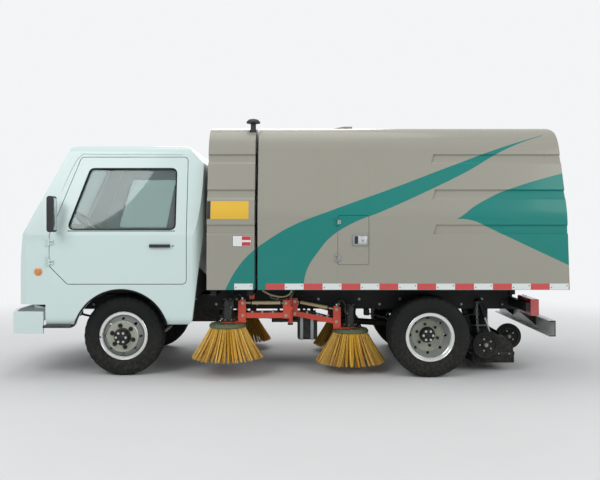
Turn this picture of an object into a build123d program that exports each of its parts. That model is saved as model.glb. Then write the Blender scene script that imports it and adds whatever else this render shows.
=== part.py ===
from build123d import *
import os
from math import cos, radians, sin, sqrt

# Street sweeper truck with four rotary brushes, a suction nozzle and a tipping hopper.
# Millimetres, +X forward, +Y left, +Z up. The ground is z = 0, the origin is under
# the middle of the overall length.

os.makedirs("parts", exist_ok=True)

# Overall
REAR_X = -2530.0
FRONT_X = 2530.0
REAR_AXLE_X = -1300.0
WHEELBASE = 2800.0
FRONT_AXLE_X = REAR_AXLE_X + WHEELBASE
FIT = 0.4
SEAT = 0.3
PIN_R = 10.0

# Tyres and rims
TYRE_R = 365.0
TYRE_W = 170.0
BEAD_R = 206.0
BEAD_W = 124.0
FLANGE_R = 222.0
RIM_SHEET = 9.0
DISC_OFFSET = 100.0
DISC_FLAT_R = 118.0
HUB_R = 66.0
HUB_OUT = 74.0
DRUM_R = 150.0
DRUM_W = 96.0
STUB_R = 24.0
FRONT_TYRE_Y = 750.0
REAR_INNER_Y = 640.0
REAR_OUTER_Y = 840.0
VENT_COUNT = 8
VENT_R = 13.0

# Chassis frame
RAIL_Y = 375.0
RAIL_Z0 = 560.0
RAIL_Z1 = 700.0
RAIL_FLANGE = 60.0
RAIL_T = 8.0
RAIL_REAR_X = -2200.0
RAIL_FRONT_X = 2330.0
SUB_TOP_Z = 797.0
SUB_FRONT_X = 714.0

# Body shell, in section
BODY_HALF_W = 1000.0
BODY_Z0 = 803.0
KNEE_Z = 1490.0
LEAN = 0.25
ROOF_Z = 2310.0
CROWN_RISE = 20.0
CORNER_Z = ROOF_Z - CROWN_RISE
KNEE_R = 400.0
CORNER_R = 300.0
CROWN_R = 3000.0
WALL = 35.0
BAND = 100.0
HOPPER_FRONT_X = 259.0
MODULE_REAR_X = 287.0
MODULE_FRONT_X = 714.0
REAR_LEAN = 50.0
REAR_ROOF_R = 95.0
GROOVE_DEPTH = 15.0
GROOVE_H = 92.0
GROOVE_BEVEL = 16.0
GROOVE_ZS = (1296.0, 1612.0, CORNER_Z - 352.0)
GROOVE_FRONT_X = -1300.0
GROOVE_SLANT = 45.0

# Hopper bin, its hinge and its lift cylinder
BIN_FLOOR_Z = 900.0
BIN_T = 25.0
BULKHEAD_X = -500.0
REAR_WALL_X = -2400.0
REAR_SKIRT_Z = 927.0
TIP_X = RAIL_REAR_X
TIP_Z = 760.0
TIP_PIN_R = 15.0
SILL_Y0 = 300.0
SILL_Y1 = 370.0
LIFT_FOOT = (-1500.0, 575.0)
LIFT_EYE = (-700.0, 790.0)
LIFT_BARREL_R = 42.0
LIFT_ROD_R = 22.0
LIFT_BARREL_L = 640.0

# Tail door, its hinge and its cylinder
DOOR_X0 = -2455.0
DOOR_X1 = -2405.0
DOOR_Z0 = 956.0
DOOR_Z1 = 1606.0
DOOR_HALF_TOP = 831.0
DOOR_HALF_FOOT = 861.0
DOOR_HINGE_X = -2470.0
DOOR_HINGE_Z = 1705.0
DOOR_HINGE_Y = 538.0
LATCH_Z = 1027.0
TAIL_PIN_X = -2500.0
TAIL_TOP_Z = 1975.0
TAIL_EYE_Z = 1300.0
TAIL_BARREL_R = 24.0
TAIL_ROD_R = 12.5
TAIL_BARREL_Z0 = 1570.0
TAIL_BARREL_Z1 = 1934.0

# Cab
CAB_HALF_W = 925.0
CAB_WALL = 55.0
PAST_CAB_Y = CAB_HALF_W + 75.0
CAB_FLOOR_Z = 720.0
CAB_BACK_X = 765.0
CAB_ROOF_Z = 2115.0
CAB_SILL_Z = 480.0
CAB_BELT_Z = 1290.0
CAB_LEAN = 0.17
CAB_NOSE_X = 2440.0
CAB_TILT_X = 2400.0
CAB_TILT_Z = 640.0
ARCH_R = 430.0
DOOR_GAP = 6.0
GLASS_T = 5.0

# Brush arms
ARM_BASE_X = -30.0
ARM_BASE_HALF = 40.0
ARM_LOW_Z = 545.0
ARM_RISE = 115.0
ARM_L = 400.0
ARM_BAR_T = 36.0
HEAD_REACH = 139.0
DISC_R = 170.0
DISC_T = 36.0
TIP_R = 330.0
BRISTLE_H = 290.0

# Suction nozzle
NOZZLE_HALF_W = 640.0
NOZZLE_WHEEL_R = 129.0
NOZZLE_WHEEL_W = 50.0


def block(x0, x1, y0, y1, z0, z1):
    """A box between two corners."""
    return Pos((x0 + x1) / 2, (y0 + y1) / 2, (z0 + z1) / 2) * Box(x1 - x0, y1 - y0, z1 - z0)


def bar_x(x0, x1, y, z, r):
    """A round bar along X."""
    return Pos((x0 + x1) / 2, y, z) * Rot(0, 90, 0) * Cylinder(r, x1 - x0)


def bar_y(x, y0, y1, z, r):
    """A round bar along Y."""
    return Pos(x, (y0 + y1) / 2, z) * Rot(90, 0, 0) * Cylinder(r, y1 - y0)


def bar_z(x, y, z0, z1, r):
    """A round bar along Z."""
    return Pos(x, y, (z0 + z1) / 2) * Cylinder(r, z1 - z0)


def outline(points, r=0.0):
    """A closed flat outline, with all its corners rounded if r is given."""
    face = make_face(Polyline(*points, close=True))
    if r > 0:
        face = fillet(face.vertices(), r)
    return face


def side_plate(points, y0, y1, r=0.0):
    """An outline of (x, z) points, solid from y0 to y1."""
    return Pos(0, y1, 0) * extrude(Plane.XZ * outline(points, r), amount=y1 - y0)


def end_plate(points, x0, x1, r=0.0):
    """An outline of (y, z) points, solid from x0 to x1."""
    return Pos(x0, 0, 0) * extrude(Plane.YZ * outline(points, r), amount=x1 - x0)


def floor_plate(points, z0, z1, r=0.0):
    """An outline of (x, y) points, solid from z0 to z1."""
    return Pos(0, 0, z0) * extrude(outline(points, r), amount=z1 - z0)


def turned_y(points, x, z):
    """A profile of (radius, y) points, turned about a line along Y through x, z."""
    return Pos(x, 0, z) * revolve(outline(points), Axis.Y)


def turned_z(points, x, y):
    """A profile of (radius, z) points, turned about a line along Z through x, y."""
    return Pos(x, y, 0) * revolve(Plane.XZ * outline(points), Axis.Z)


def other_side(shape):
    """The same shape on the truck's other side."""
    return mirror(shape, Plane.XZ)


def pair(shape):
    """The shape and its twin on the other side."""
    return [shape, other_side(shape)]


def save(name, shapes):
    """One sub-part, of one or more solids."""
    items = shapes if isinstance(shapes, list) else [shapes]
    solids = []
    for item in items:
        solids.extend(item.solids())
    export_step(Compound(children=solids), "parts/" + name + ".step")


def eye_bar(x0, z0, x1, z1, y, half_depth, width, bore):
    """A bar with round ends and a bore at each end, in the XZ plane."""
    length = sqrt((x1 - x0) ** 2 + (z1 - z0) ** 2)
    ux, uz = (x1 - x0) / length, (z1 - z0) / length
    nx, nz = -uz * half_depth, ux * half_depth
    y0, y1 = y - width / 2, y + width / 2
    corners = [(x0 + nx, z0 + nz), (x1 + nx, z1 + nz), (x1 - nx, z1 - nz), (x0 - nx, z0 - nz)]
    bar = side_plate(corners, y0, y1)
    for x, z in ((x0, z0), (x1, z1)):
        bar += bar_y(x, y0, y1, z, half_depth)
    for x, z in ((x0, z0), (x1, z1)):
        bar -= bar_y(x, y0 - 1, y1 + 1, z, bore)
    return bar


def slanted_bar(x0, z0, x1, z1, y, r):
    """A round bar from one point to another in the XZ plane."""
    length = sqrt((x1 - x0) ** 2 + (z1 - z0) ** 2)
    plane = Plane(origin=(x0, y, z0), z_dir=(x1 - x0, 0, z1 - z0))
    return plane * Pos(0, 0, length / 2) * Cylinder(r, length)


# Wheels

def tyre(y, x):
    """A tyre centred on y, its tread and sidewalls turned about the axle."""
    half = TYRE_W / 2
    section = [
        (BEAD_R + FIT, -BEAD_W / 2),
        (FLANGE_R + 1, -BEAD_W / 2),
        (FLANGE_R + 14, -half * 0.88),
        (TYRE_R * 0.80, -half),
        (TYRE_R * 0.93, -half * 0.93),
        (TYRE_R * 0.985, -half * 0.80),
        (TYRE_R, -half * 0.62),
    ]
    section += [(r, -w) for r, w in reversed(section)]
    return Pos(0, y, 0) * turned_y(section, x, TYRE_R)


def rim(y, disc_y, x):
    """A flanged rim centred on y, with its dished disc at disc_y."""
    side = 1 if disc_y > y else -1
    half = BEAD_W / 2
    inner = BEAD_R - RIM_SHEET
    barrel = turned_y([
        (inner, y - half - 6), (FLANGE_R, y - half - 6), (FLANGE_R, y - half - FIT),
        (BEAD_R, y - half - FIT), (BEAD_R, y + half + FIT), (FLANGE_R, y + half + FIT),
        (FLANGE_R, y + half + 6), (inner, y + half + 6),
    ], x, TYRE_R)
    seat = y + side * 20
    dish = turned_y([
        (inner + 1, seat), (inner + 1, seat + side * 14),
        (DISC_FLAT_R + 22, disc_y), (STUB_R + FIT, disc_y),
        (STUB_R + FIT, disc_y - side * 10), (DISC_FLAT_R + 14, disc_y - side * 10),
    ], x, TYRE_R)
    vents = [
        Pos(x, 0, TYRE_R) * Rot(0, 360 / VENT_COUNT * i, 0)
        * bar_y(DISC_FLAT_R + 42, y - 200, y + 200, 0, VENT_R)
        for i in range(VENT_COUNT)
    ]
    return barrel + (dish - vents)


def hub_and_drum(disc_y, out, x):
    """The hub outside the disc and the brake drum inside it, bored for the stub axle."""
    face = disc_y
    return turned_y([
        (STUB_R + FIT, face - out * (DRUM_W + 10)), (DRUM_R, face - out * (DRUM_W + 10)),
        (DRUM_R, face - out * 14), (HUB_R + 30, face - out * 8),
        (HUB_R + 12, face + out * 8), (HUB_R, face + out * 14),
        (HUB_R * 0.88, face + out * HUB_OUT), (STUB_R + FIT, face + out * HUB_OUT),
    ], x, TYRE_R)


FRONT_DISC_Y = FRONT_TYRE_Y + DISC_OFFSET
REAR_DISC_Y = (REAR_INNER_Y + REAR_OUTER_Y) / 2
front_rim = rim(FRONT_TYRE_Y, FRONT_DISC_Y, FRONT_AXLE_X)
front_rim += hub_and_drum(FRONT_DISC_Y, 1, FRONT_AXLE_X)
rear_rim = rim(REAR_OUTER_Y, REAR_DISC_Y, REAR_AXLE_X)
rear_rim += rim(REAR_INNER_Y, REAR_DISC_Y - FIT, REAR_AXLE_X)
rear_rim += hub_and_drum(REAR_DISC_Y, 1, REAR_AXLE_X)
front_tyre = tyre(FRONT_TYRE_Y, FRONT_AXLE_X)
rear_tyres = [tyre(REAR_INNER_Y, REAR_AXLE_X), tyre(REAR_OUTER_Y, REAR_AXLE_X)]
save("front_tyre_left", front_tyre)
save("front_tyre_right", other_side(front_tyre))
save("front_rim_left", front_rim)
save("front_rim_right", other_side(front_rim))
save("rear_tyres_left", rear_tyres)
save("rear_tyres_right", [other_side(t) for t in rear_tyres])
save("rear_rims_left", rear_rim)
save("rear_rims_right", other_side(rear_rim))

# Axles, springs and steering

SPRING_Y = 405.0
SPRING_HALF_W = 32.0
LEAF_T = 9.0
# Each spring: axle x, half span, z of the top of the main leaf at its middle, z of its eyes
SPRINGS = {
    "front": (FRONT_AXLE_X, 520.0, 452.0, 520.0),
    "rear": (REAR_AXLE_X, 520.0, 462.0, 525.0),
}
LEAF_SHARES = (1.0, 0.82, 0.62, 0.42)
EYE_R = 20.0


def leaf_pack(key):
    """A leaf spring: bent leaves, each shorter than the one above, with rolled eyes."""
    x, half, z_mid, z_eye = SPRINGS[key]
    rise = z_eye - z_mid
    bend_r = (half ** 2 + rise ** 2) / (2 * rise)
    pack = None
    for i, share in enumerate(LEAF_SHARES):
        outer = bend_r + (i + 1) * LEAF_T
        ring = Pos(x, SPRING_Y, z_mid + bend_r) * Rot(90, 0, 0) * (
            Cylinder(outer, 2 * SPRING_HALF_W) - Cylinder(outer - LEAF_T, 2 * SPRING_HALF_W + 2))
        reach = half * share
        leaf = ring & block(x - reach, x + reach, SPRING_Y - 50, SPRING_Y + 50, z_mid - 60, z_eye + 20)
        pack = leaf if pack is None else pack + leaf
    for end in (-1, 1):
        x_eye = x + end * (half + EYE_R * 0.6)
        pack += bar_y(x_eye, SPRING_Y - SPRING_HALF_W, SPRING_Y + SPRING_HALF_W, z_eye + 6, EYE_R)
    for end in (-1, 1):
        x_eye = x + end * (half + EYE_R * 0.6)
        pack -= bar_y(x_eye, SPRING_Y - 60, SPRING_Y + 60, z_eye + 6, PIN_R + FIT)
    return pack


def spring_hangers(key):
    """The two-cheeked brackets below a rail that hold one spring's eyes."""
    x, half, z_mid, z_eye = SPRINGS[key]
    hangers = []
    for end in (-1, 1):
        x_eye = x + end * (half + EYE_R * 0.6)
        hanger = block(x_eye - 26, x_eye + 26, RAIL_Y - 40, SPRING_Y + SPRING_HALF_W + 8,
                       RAIL_Z0 - 6, RAIL_Z0 - SEAT)
        for inner in (-1, 1):
            y_near = SPRING_Y + inner * (SPRING_HALF_W + FIT)
            y0, y1 = sorted((y_near, y_near + inner * 8))
            hanger += block(x_eye - 26, x_eye + 26, y0, y1, z_eye - 22, RAIL_Z0 - SEAT)
        hanger += bar_y(x_eye, SPRING_Y - SPRING_HALF_W - 4, SPRING_Y + SPRING_HALF_W + 4,
                        z_eye + 6, PIN_R)
        hangers.append(hanger)
    return hangers


KINGPIN_Y = 650.0
KINGPIN_R = 14.0
BEAM_Z0 = 330.0
BEAM_Z1 = 400.0
BEAM_DROP = 45.0
BEAM_HALF_X = 34.0
AXLE_EYE_R = 30.0

beam_side = [
    (-KINGPIN_Y, BEAM_Z0), (-470, BEAM_Z0), (-300, BEAM_Z0 - BEAM_DROP), (300, BEAM_Z0 - BEAM_DROP),
    (470, BEAM_Z0), (KINGPIN_Y, BEAM_Z0), (KINGPIN_Y, BEAM_Z1), (440, BEAM_Z1),
    (270, BEAM_Z1 - BEAM_DROP), (-270, BEAM_Z1 - BEAM_DROP), (-440, BEAM_Z1), (-KINGPIN_Y, BEAM_Z1),
]
front_beam = end_plate(beam_side, FRONT_AXLE_X - BEAM_HALF_X, FRONT_AXLE_X + BEAM_HALF_X)
web_pocket = [
    (-290, BEAM_Z0 - BEAM_DROP + 14), (290, BEAM_Z0 - BEAM_DROP + 14), (268, BEAM_Z1 - BEAM_DROP - 14),
    (-268, BEAM_Z1 - BEAM_DROP - 14),
]
for face_x in (-1, 1):
    near = FRONT_AXLE_X + face_x * 10
    far = FRONT_AXLE_X + face_x * (BEAM_HALF_X + 1)
    front_beam -= end_plate(web_pocket, min(near, far), max(near, far))
for end in (-1, 1):
    front_beam += bar_z(FRONT_AXLE_X, end * KINGPIN_Y, BEAM_Z0, BEAM_Z1, AXLE_EYE_R + 4)
for end in (-1, 1):
    front_beam -= bar_z(FRONT_AXLE_X, end * KINGPIN_Y, 0, 600, KINGPIN_R + FIT)
front_pad_top = SPRINGS["front"][2] - len(LEAF_SHARES) * LEAF_T
front_spring = leaf_pack("front") + block(FRONT_AXLE_X - 60, FRONT_AXLE_X + 60, SPRING_Y - 40,
                                          SPRING_Y + 40, BEAM_Z1 - 25, front_pad_top + 6)
save("front_axle", front_beam + front_spring + other_side(front_spring))

# Rear axle: banjo housing, tapered tubes, backing plates and springs clamped on top
REAR_TUBE_R = 46.0
rear_housing = turned_y([
    (0, -600), (REAR_TUBE_R, -600), (REAR_TUBE_R, -260), (110, -150), (135, -60),
    (135, 60), (110, 150), (REAR_TUBE_R, 260), (REAR_TUBE_R, 600), (0, 600),
], REAR_AXLE_X, TYRE_R)
rear_housing += bar_x(REAR_AXLE_X, REAR_AXLE_X + 230, 0, TYRE_R, 62)
for end in (-1, 1):
    inner, outer = sorted((end * 590, end * (REAR_DISC_Y - DRUM_W - 14)))
    rear_housing += bar_y(REAR_AXLE_X, inner, outer, TYRE_R, DRUM_R + 4)
    inner, outer = sorted((end * 590, end * (REAR_DISC_Y + HUB_OUT - 6)))
    rear_housing += bar_y(REAR_AXLE_X, inner, outer, TYRE_R, STUB_R)
rear_pad_top = SPRINGS["rear"][2] - len(LEAF_SHARES) * LEAF_T
rear_spring = leaf_pack("rear") + block(REAR_AXLE_X - 60, REAR_AXLE_X + 60, SPRING_Y - 40,
                                        SPRING_Y + 40, TYRE_R + 20, rear_pad_top + 6)
save("rear_axle", rear_housing + rear_spring + other_side(rear_spring))

# Knuckle: lugs above and below the axle eye, kingpin, backing plate, stub and steering arm
KNUCKLE_GAP = 1.0
LUG_H = 30.0
ARM_END = (FRONT_AXLE_X - 190.0, KINGPIN_Y)
plate_y = FRONT_DISC_Y - DRUM_W - 10
knuckle = block(FRONT_AXLE_X - 34, FRONT_AXLE_X + 34, KINGPIN_Y + 42, KINGPIN_Y + 66,
                BEAM_Z0 - KNUCKLE_GAP - LUG_H, BEAM_Z1 + KNUCKLE_GAP + LUG_H)
for z0 in (BEAM_Z0 - KNUCKLE_GAP - LUG_H, BEAM_Z1 + KNUCKLE_GAP):
    knuckle += bar_z(FRONT_AXLE_X, KINGPIN_Y, z0, z0 + LUG_H, AXLE_EYE_R)
    knuckle += block(FRONT_AXLE_X - AXLE_EYE_R, FRONT_AXLE_X + AXLE_EYE_R, KINGPIN_Y, KINGPIN_Y + 46,
                     z0, z0 + LUG_H)
knuckle += bar_z(FRONT_AXLE_X, KINGPIN_Y, BEAM_Z0 - 20, BEAM_Z1 + 20, KINGPIN_R)
knuckle += bar_y(FRONT_AXLE_X, KINGPIN_Y + 50, plate_y - 4, TYRE_R, 40)
knuckle += bar_y(FRONT_AXLE_X, plate_y - 12, plate_y - 4, TYRE_R, DRUM_R + 4)
knuckle += bar_y(FRONT_AXLE_X, KINGPIN_Y + 50, FRONT_DISC_Y + HUB_OUT - 6, TYRE_R, STUB_R)
arm_z0 = BEAM_Z0 - KNUCKLE_GAP - LUG_H
steer_arm = floor_plate([
    (FRONT_AXLE_X - 10, KINGPIN_Y + 22), (FRONT_AXLE_X - 10, KINGPIN_Y - 22),
    (ARM_END[0], ARM_END[1] - 16), (ARM_END[0], ARM_END[1] + 16),
], arm_z0, arm_z0 + 16)
steer_arm += bar_z(ARM_END[0], ARM_END[1], arm_z0, arm_z0 + 16, 18)
steer_arm += bar_z(ARM_END[0], ARM_END[1], arm_z0 - 40, arm_z0 + 8, 8)
knuckle += steer_arm
save("steering_knuckle_left", knuckle)
save("steering_knuckle_right", other_side(knuckle))
tie_rod = bar_y(ARM_END[0], -ARM_END[1], ARM_END[1], arm_z0 - 22, 13)
for end in (-1, 1):
    tie_rod += bar_z(ARM_END[0], end * ARM_END[1], arm_z0 - 40, arm_z0 - 5, 20)
for end in (-1, 1):
    tie_rod -= bar_z(ARM_END[0], end * ARM_END[1], arm_z0 - 60, arm_z0, 8 + FIT)
save("tie_rod", tie_rod)

# Chassis frame: two channel rails, cross members, subframe, spring hangers and brackets

def channel_rail():
    """One rail of channel section, its web outside and its flanges inwards."""
    section = [
        (RAIL_Y, RAIL_Z0), (RAIL_Y, RAIL_Z1), (RAIL_Y - RAIL_FLANGE, RAIL_Z1),
        (RAIL_Y - RAIL_FLANGE, RAIL_Z1 - RAIL_T), (RAIL_Y - RAIL_T, RAIL_Z1 - RAIL_T),
        (RAIL_Y - RAIL_T, RAIL_Z0 + RAIL_T), (RAIL_Y - RAIL_FLANGE, RAIL_Z0 + RAIL_T),
        (RAIL_Y - RAIL_FLANGE, RAIL_Z0),
    ]
    return end_plate(section, RAIL_REAR_X, RAIL_FRONT_X)


CROSS_XS = (-1750.0, -900.0, -150.0, 560.0, 1060.0, 1980.0)
FRONT_CROSS_X = 2290.0
SILL_XS = (330.0, 660.0)
FAN_ENGINE_XS = (-300.0, 20.0)
LAMP_BAR_Y = BODY_HALF_W - 70.0
CROSS_Y = RAIL_Y - RAIL_T - SEAT
CROSS_Z0 = RAIL_Z0 + 12.0
CROSS_Z1 = RAIL_Z1 - 50.0
SUB_Y = SILL_Y0 + 5.0
BEAM_H = 52.0
SILL_BEAM_Y = BODY_HALF_W - 60.0


def cross_member(x, y0=-CROSS_Y, y1=CROSS_Y):
    """A cross member between the rails."""
    return block(x - 30, x + 30, y0, y1, CROSS_Z0, CROSS_Z1)


# One side: rail, subframe rail, spring hangers, tipping bracket and the sill beams' outer parts
half_frame = [channel_rail()]
half_frame.append(block(TIP_X + 42, SUB_FRONT_X, SUB_Y, RAIL_Y, RAIL_Z1 + SEAT, SUB_TOP_Z))
half_frame += spring_hangers("front") + spring_hangers("rear")
tip_bracket = block(TIP_X - 2, TIP_X + 26, SILL_Y0 - 14, SILL_Y1 + 14, RAIL_Z1 + SEAT, RAIL_Z1 + 12)
for y0 in (SILL_Y0 - 14, SILL_Y1 + 2):
    tip_bracket += bar_y(TIP_X, y0, y0 + 12, TIP_Z, 26)
    tip_bracket += block(TIP_X - 26, TIP_X + 26, y0, y0 + 12, RAIL_Z1 + SEAT, TIP_Z)
tip_bracket += bar_y(TIP_X, SILL_Y0 - 8, SILL_Y1 + 8, TIP_Z, TIP_PIN_R)
half_frame.append(tip_bracket)
for x in SILL_XS:
    half_frame.append(block(x - 25, x + 25, RAIL_Y + SEAT, SILL_BEAM_Y, SUB_TOP_Z - BEAM_H, BODY_Z0))
half_frame.append(block(RAIL_REAR_X, RAIL_REAR_X + 40, RAIL_Y + SEAT, LAMP_BAR_Y, 600, 680))
frame = []
for piece in half_frame:
    frame += pair(piece)

# Members between the rails and between the subframe rails
for x in CROSS_XS:
    frame.append(cross_member(x))
for x in FAN_ENGINE_XS:
    frame.append(block(x - 25, x + 25, SEAT - SUB_Y, SUB_Y - SEAT, SUB_TOP_Z - BEAM_H, SUB_TOP_Z))
for x in SILL_XS:
    frame.append(block(x - 25, x + 25, SEAT - SUB_Y, SUB_Y - SEAT, SUB_TOP_Z - BEAM_H, BODY_Z0))

# Foremost member with the cab's tilting brackets at both ends
front_member = cross_member(FRONT_CROSS_X)
for end in (-1, 1):
    for y_near in (300.0, CROSS_Y - 14):
        y0, y1 = sorted((end * y_near, end * (y_near + 14)))
        front_member += block(FRONT_CROSS_X, CAB_TILT_X, y0, y1, CAB_TILT_Z - 20, CAB_TILT_Z + 20)
        front_member += bar_y(CAB_TILT_X, y0, y1, CAB_TILT_Z, 20)
    y0, y1 = sorted((end * 304, end * 360))
    front_member += bar_y(CAB_TILT_X, y0, y1, CAB_TILT_Z, 12)
frame.append(front_member)

# Member that holds the lift cylinder's foot pin between two cheeks
foot_member = cross_member(LIFT_FOOT[0], 30) + cross_member(LIFT_FOOT[0], -CROSS_Y, -30)
for end in (-1, 1):
    inner, outer = sorted((end * 30, end * 46))
    foot_member += side_plate([
        (LIFT_FOOT[0] - 40, CROSS_Z0), (LIFT_FOOT[0] + 40, CROSS_Z0),
        (LIFT_FOOT[0] + 30, LIFT_FOOT[1] + 36), (LIFT_FOOT[0] - 30, LIFT_FOOT[1] + 36),
    ], inner, outer)
foot_member += bar_y(LIFT_FOOT[0], -40, 40, LIFT_FOOT[1], 14)
frame.append(foot_member)

# Rearmost member with two flat tow eyes
TOW_EYE = (RAIL_REAR_X - 40.0, 200.0, 640.0)
TOW_BORE_R = 17.0
TOW_T = 22.0
rear_member = block(RAIL_REAR_X, RAIL_REAR_X + 40, -CROSS_Y, CROSS_Y, 600, 680)
for end in (-1, 1):
    tow_x, tow_y, tow_z = TOW_EYE[0], end * TOW_EYE[1], TOW_EYE[2]
    rear_member += block(tow_x, RAIL_REAR_X + 2, tow_y - 28, tow_y + 28, tow_z - TOW_T / 2, tow_z + TOW_T / 2)
    rear_member += bar_z(tow_x, tow_y, tow_z - TOW_T / 2, tow_z + TOW_T / 2, TOW_BORE_R + 11)
    rear_member -= bar_z(tow_x, tow_y, tow_z - TOW_T, tow_z + TOW_T, TOW_BORE_R)
frame.append(rear_member)
save("chassis_frame", frame)

# Engine under the cab with its gearbox and shaft, and the engine that drives the fan
truck_engine = block(1120, 1720, -230, 230, RAIL_Z0 - 150, RAIL_Z1 - 4)
truck_engine += block(700, 1120, -120, 120, 400, RAIL_Z0 + 11.7)
truck_engine += slanted_bar(700, 480, REAR_AXLE_X + 232.4, TYRE_R, 0, 32)
fan_engine = block(-360, 60, -SILL_Y0 + 15, SILL_Y0 - 15, SUB_TOP_Z + 0.3, 1290)
save("engine_blocks", [truck_engine, fan_engine])

# Fuel tank on the left and silencer on the right, both held to the rails
tank = side_plate([(-285, 290), (-95, 290), (-95, 500), (-285, 500)], 402, 565, 24)
for x in (-250, -150):
    tank += block(x, x + 30, RAIL_Y + 0.3, RAIL_Y + 30, 470, RAIL_Z1 - 30)
    tank += block(x, x + 30, RAIL_Y + 0.3, 540, 478, 504)
save("fuel_tank", tank)
SILENCER_Z = 372.0
silencer = bar_x(-290, 190, -500, SILENCER_Z, 65)
for x in (-200, 100):
    silencer += block(x, x + 26, -512, -RAIL_Y - 0.3, 420, 446)
    silencer += block(x, x + 26, -RAIL_Y - 14, -RAIL_Y - 0.3, 420, RAIL_Z1 - 40)
front_pipe = bar_x(190 + SEAT, 930, -500, SILENCER_Z, 24)
tail_pipe = bar_x(-335, -290 - SEAT, -500, SILENCER_Z, 24)
save("silencer", [silencer, front_pipe, tail_pipe])

# Intake stack in the seam on the left, and the filter canister behind the cab on the right
STACK_X = 316.0
STACK_Y = 700.0
STACK_R = 25.0
STACK_TOP_Z = ROOF_Z + 20.0
CAP_R = 64.0
stack = turned_z([
    (0, BODY_Z0 + SEAT), (STACK_R, BODY_Z0 + SEAT), (STACK_R, STACK_TOP_Z), (CAP_R, STACK_TOP_Z + 2),
    (CAP_R, STACK_TOP_Z + 16), (CAP_R - 20, STACK_TOP_Z + 36), (12, STACK_TOP_Z + 44), (0, STACK_TOP_Z + 44),
], STACK_X, STACK_Y)
FILTER_X = 850.0
FILTER_Z = 545.0
FILTER_R = 135.0
FILTER_Y = (-790.0, -470.0)
filter_can = turned_y([
    (0, FILTER_Y[0]), (FILTER_R - 17, FILTER_Y[0]), (FILTER_R, FILTER_Y[0] + 15),
    (FILTER_R, FILTER_Y[1]), (0, FILTER_Y[1]),
], FILTER_X, FILTER_Z)
filter_can += block(FILTER_X - 40, FILTER_X, FILTER_Y[1], -RAIL_Y - 0.3, FILTER_Z + 20, FILTER_Z + 80)
HOSE_TOP_Z = 922.0
HOSE_XY = (827.0, -716.0)
HOSE_R = 48.0
HOSE_RIB = 8.0
HOSE_PITCH = 24.0
hose_rings = [(0, FILTER_Z), (HOSE_R, FILTER_Z)]
for i in range(9):
    hose_rings += [(HOSE_R, 694 + i * HOSE_PITCH), (HOSE_R + HOSE_RIB, 706 + i * HOSE_PITCH)]
hose_rings += [(HOSE_R, HOSE_TOP_Z), (0, HOSE_TOP_Z)]
filter_can += turned_z(hose_rings, *HOSE_XY)
save("air_intakes", [stack, filter_can])

# Body section, shared by the front module and the hopper

def body_face(inset=0.0, drop=0.0):
    """The body's cross-section, in the YZ plane, set in by a wall thickness."""
    z_foot = BODY_Z0 - drop
    y_wall = BODY_HALF_W - inset
    y_corner = BODY_HALF_W - LEAN * (CORNER_Z - KNEE_Z) - inset * 1.03
    points = [
        (-y_wall, z_foot), (-y_wall, KNEE_Z), (-y_corner, CORNER_Z - inset), (0, ROOF_Z - inset),
        (y_corner, CORNER_Z - inset), (y_wall, KNEE_Z), (y_wall, z_foot),
    ]
    radii = [KNEE_R, CORNER_R - inset, CROWN_R, CORNER_R - inset, KNEE_R]
    path = FilletPolyline(*points, radius=radii)
    return make_face(path.edges() + [Line((y_wall, z_foot), (-y_wall, z_foot)).edge()])


def body_run(x0, x1, inset=0.0, drop=0.0):
    """The body's section run along X."""
    return Pos(x0, 0, 0) * extrude(Plane.YZ * body_face(inset, drop), amount=x1 - x0)


def surface_y(z):
    """Half-width of the flat side at height z."""
    return BODY_HALF_W - LEAN * max(0.0, z - KNEE_Z)


def groove_cutter(z0, x0, x1):
    """A pressed groove of the left side: flat floor and bevelled edges."""
    z1 = z0 + GROOVE_H
    y0, y1 = surface_y(z0), surface_y(z1)
    out = 6.0
    spread = GROOVE_BEVEL * out / GROOVE_DEPTH
    section = [
        (y0 + out, z0 - spread), (y1 + out, z1 + spread),
        (y1 - GROOVE_DEPTH, z1 - GROOVE_BEVEL), (y0 - GROOVE_DEPTH, z0 + GROOVE_BEVEL),
    ]
    return end_plate(section, x0, x1)


# Front module: closed tank body with three grooves a side and a channel for the stack
module = body_run(MODULE_REAR_X, MODULE_FRONT_X)
for z0 in GROOVE_ZS:
    cutter = groove_cutter(z0, MODULE_REAR_X - 1, MODULE_FRONT_X + 1)
    module -= cutter
    module -= other_side(cutter)
module -= block(MODULE_REAR_X - 1, STACK_X + STACK_R + 8, STACK_Y - STACK_R - 10, STACK_Y + STACK_R + 10,
                BODY_Z0 - 1, ROOF_Z + 5)
module = module - block(MODULE_REAR_X + WALL + 60, MODULE_FRONT_X - WALL, -840, 840, BODY_Z0 + 40, 1900)
save("front_module", module)

# Hopper shell: roof and sides in one, with rear band, grooves, grille and door openings
side_shape = [
    (REAR_X, BODY_Z0 - 1), (HOPPER_FRONT_X, BODY_Z0 - 1), (HOPPER_FRONT_X, ROOF_Z + 1),
    (REAR_X + REAR_LEAN, ROOF_Z + 1),
]
side_face = outline(side_shape)
roof_rear = side_face.vertices().group_by(Axis.Y)[-1].sort_by(Axis.X)[0]
side_face = fillet(roof_rear, REAR_ROOF_R)
side_prism = Pos(0, 1010, 0) * extrude(Plane.XZ * side_face, amount=2020)
outer = body_run(REAR_X - 5, HOPPER_FRONT_X) & side_prism
inner_shape = [
    (REAR_X + WALL, BODY_Z0 - 2), (HOPPER_FRONT_X - 30, BODY_Z0 - 2), (HOPPER_FRONT_X - 30, ROOF_Z),
    (REAR_X + WALL + REAR_LEAN, ROOF_Z),
]
inner_face = outline(inner_shape)
inner_roof_rear = inner_face.vertices().group_by(Axis.Y)[-1].sort_by(Axis.X)[0]
inner_face = fillet(inner_roof_rear, REAR_ROOF_R)
inner_prism = Pos(0, 1010, 0) * extrude(Plane.XZ * inner_face, amount=2020)
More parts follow.
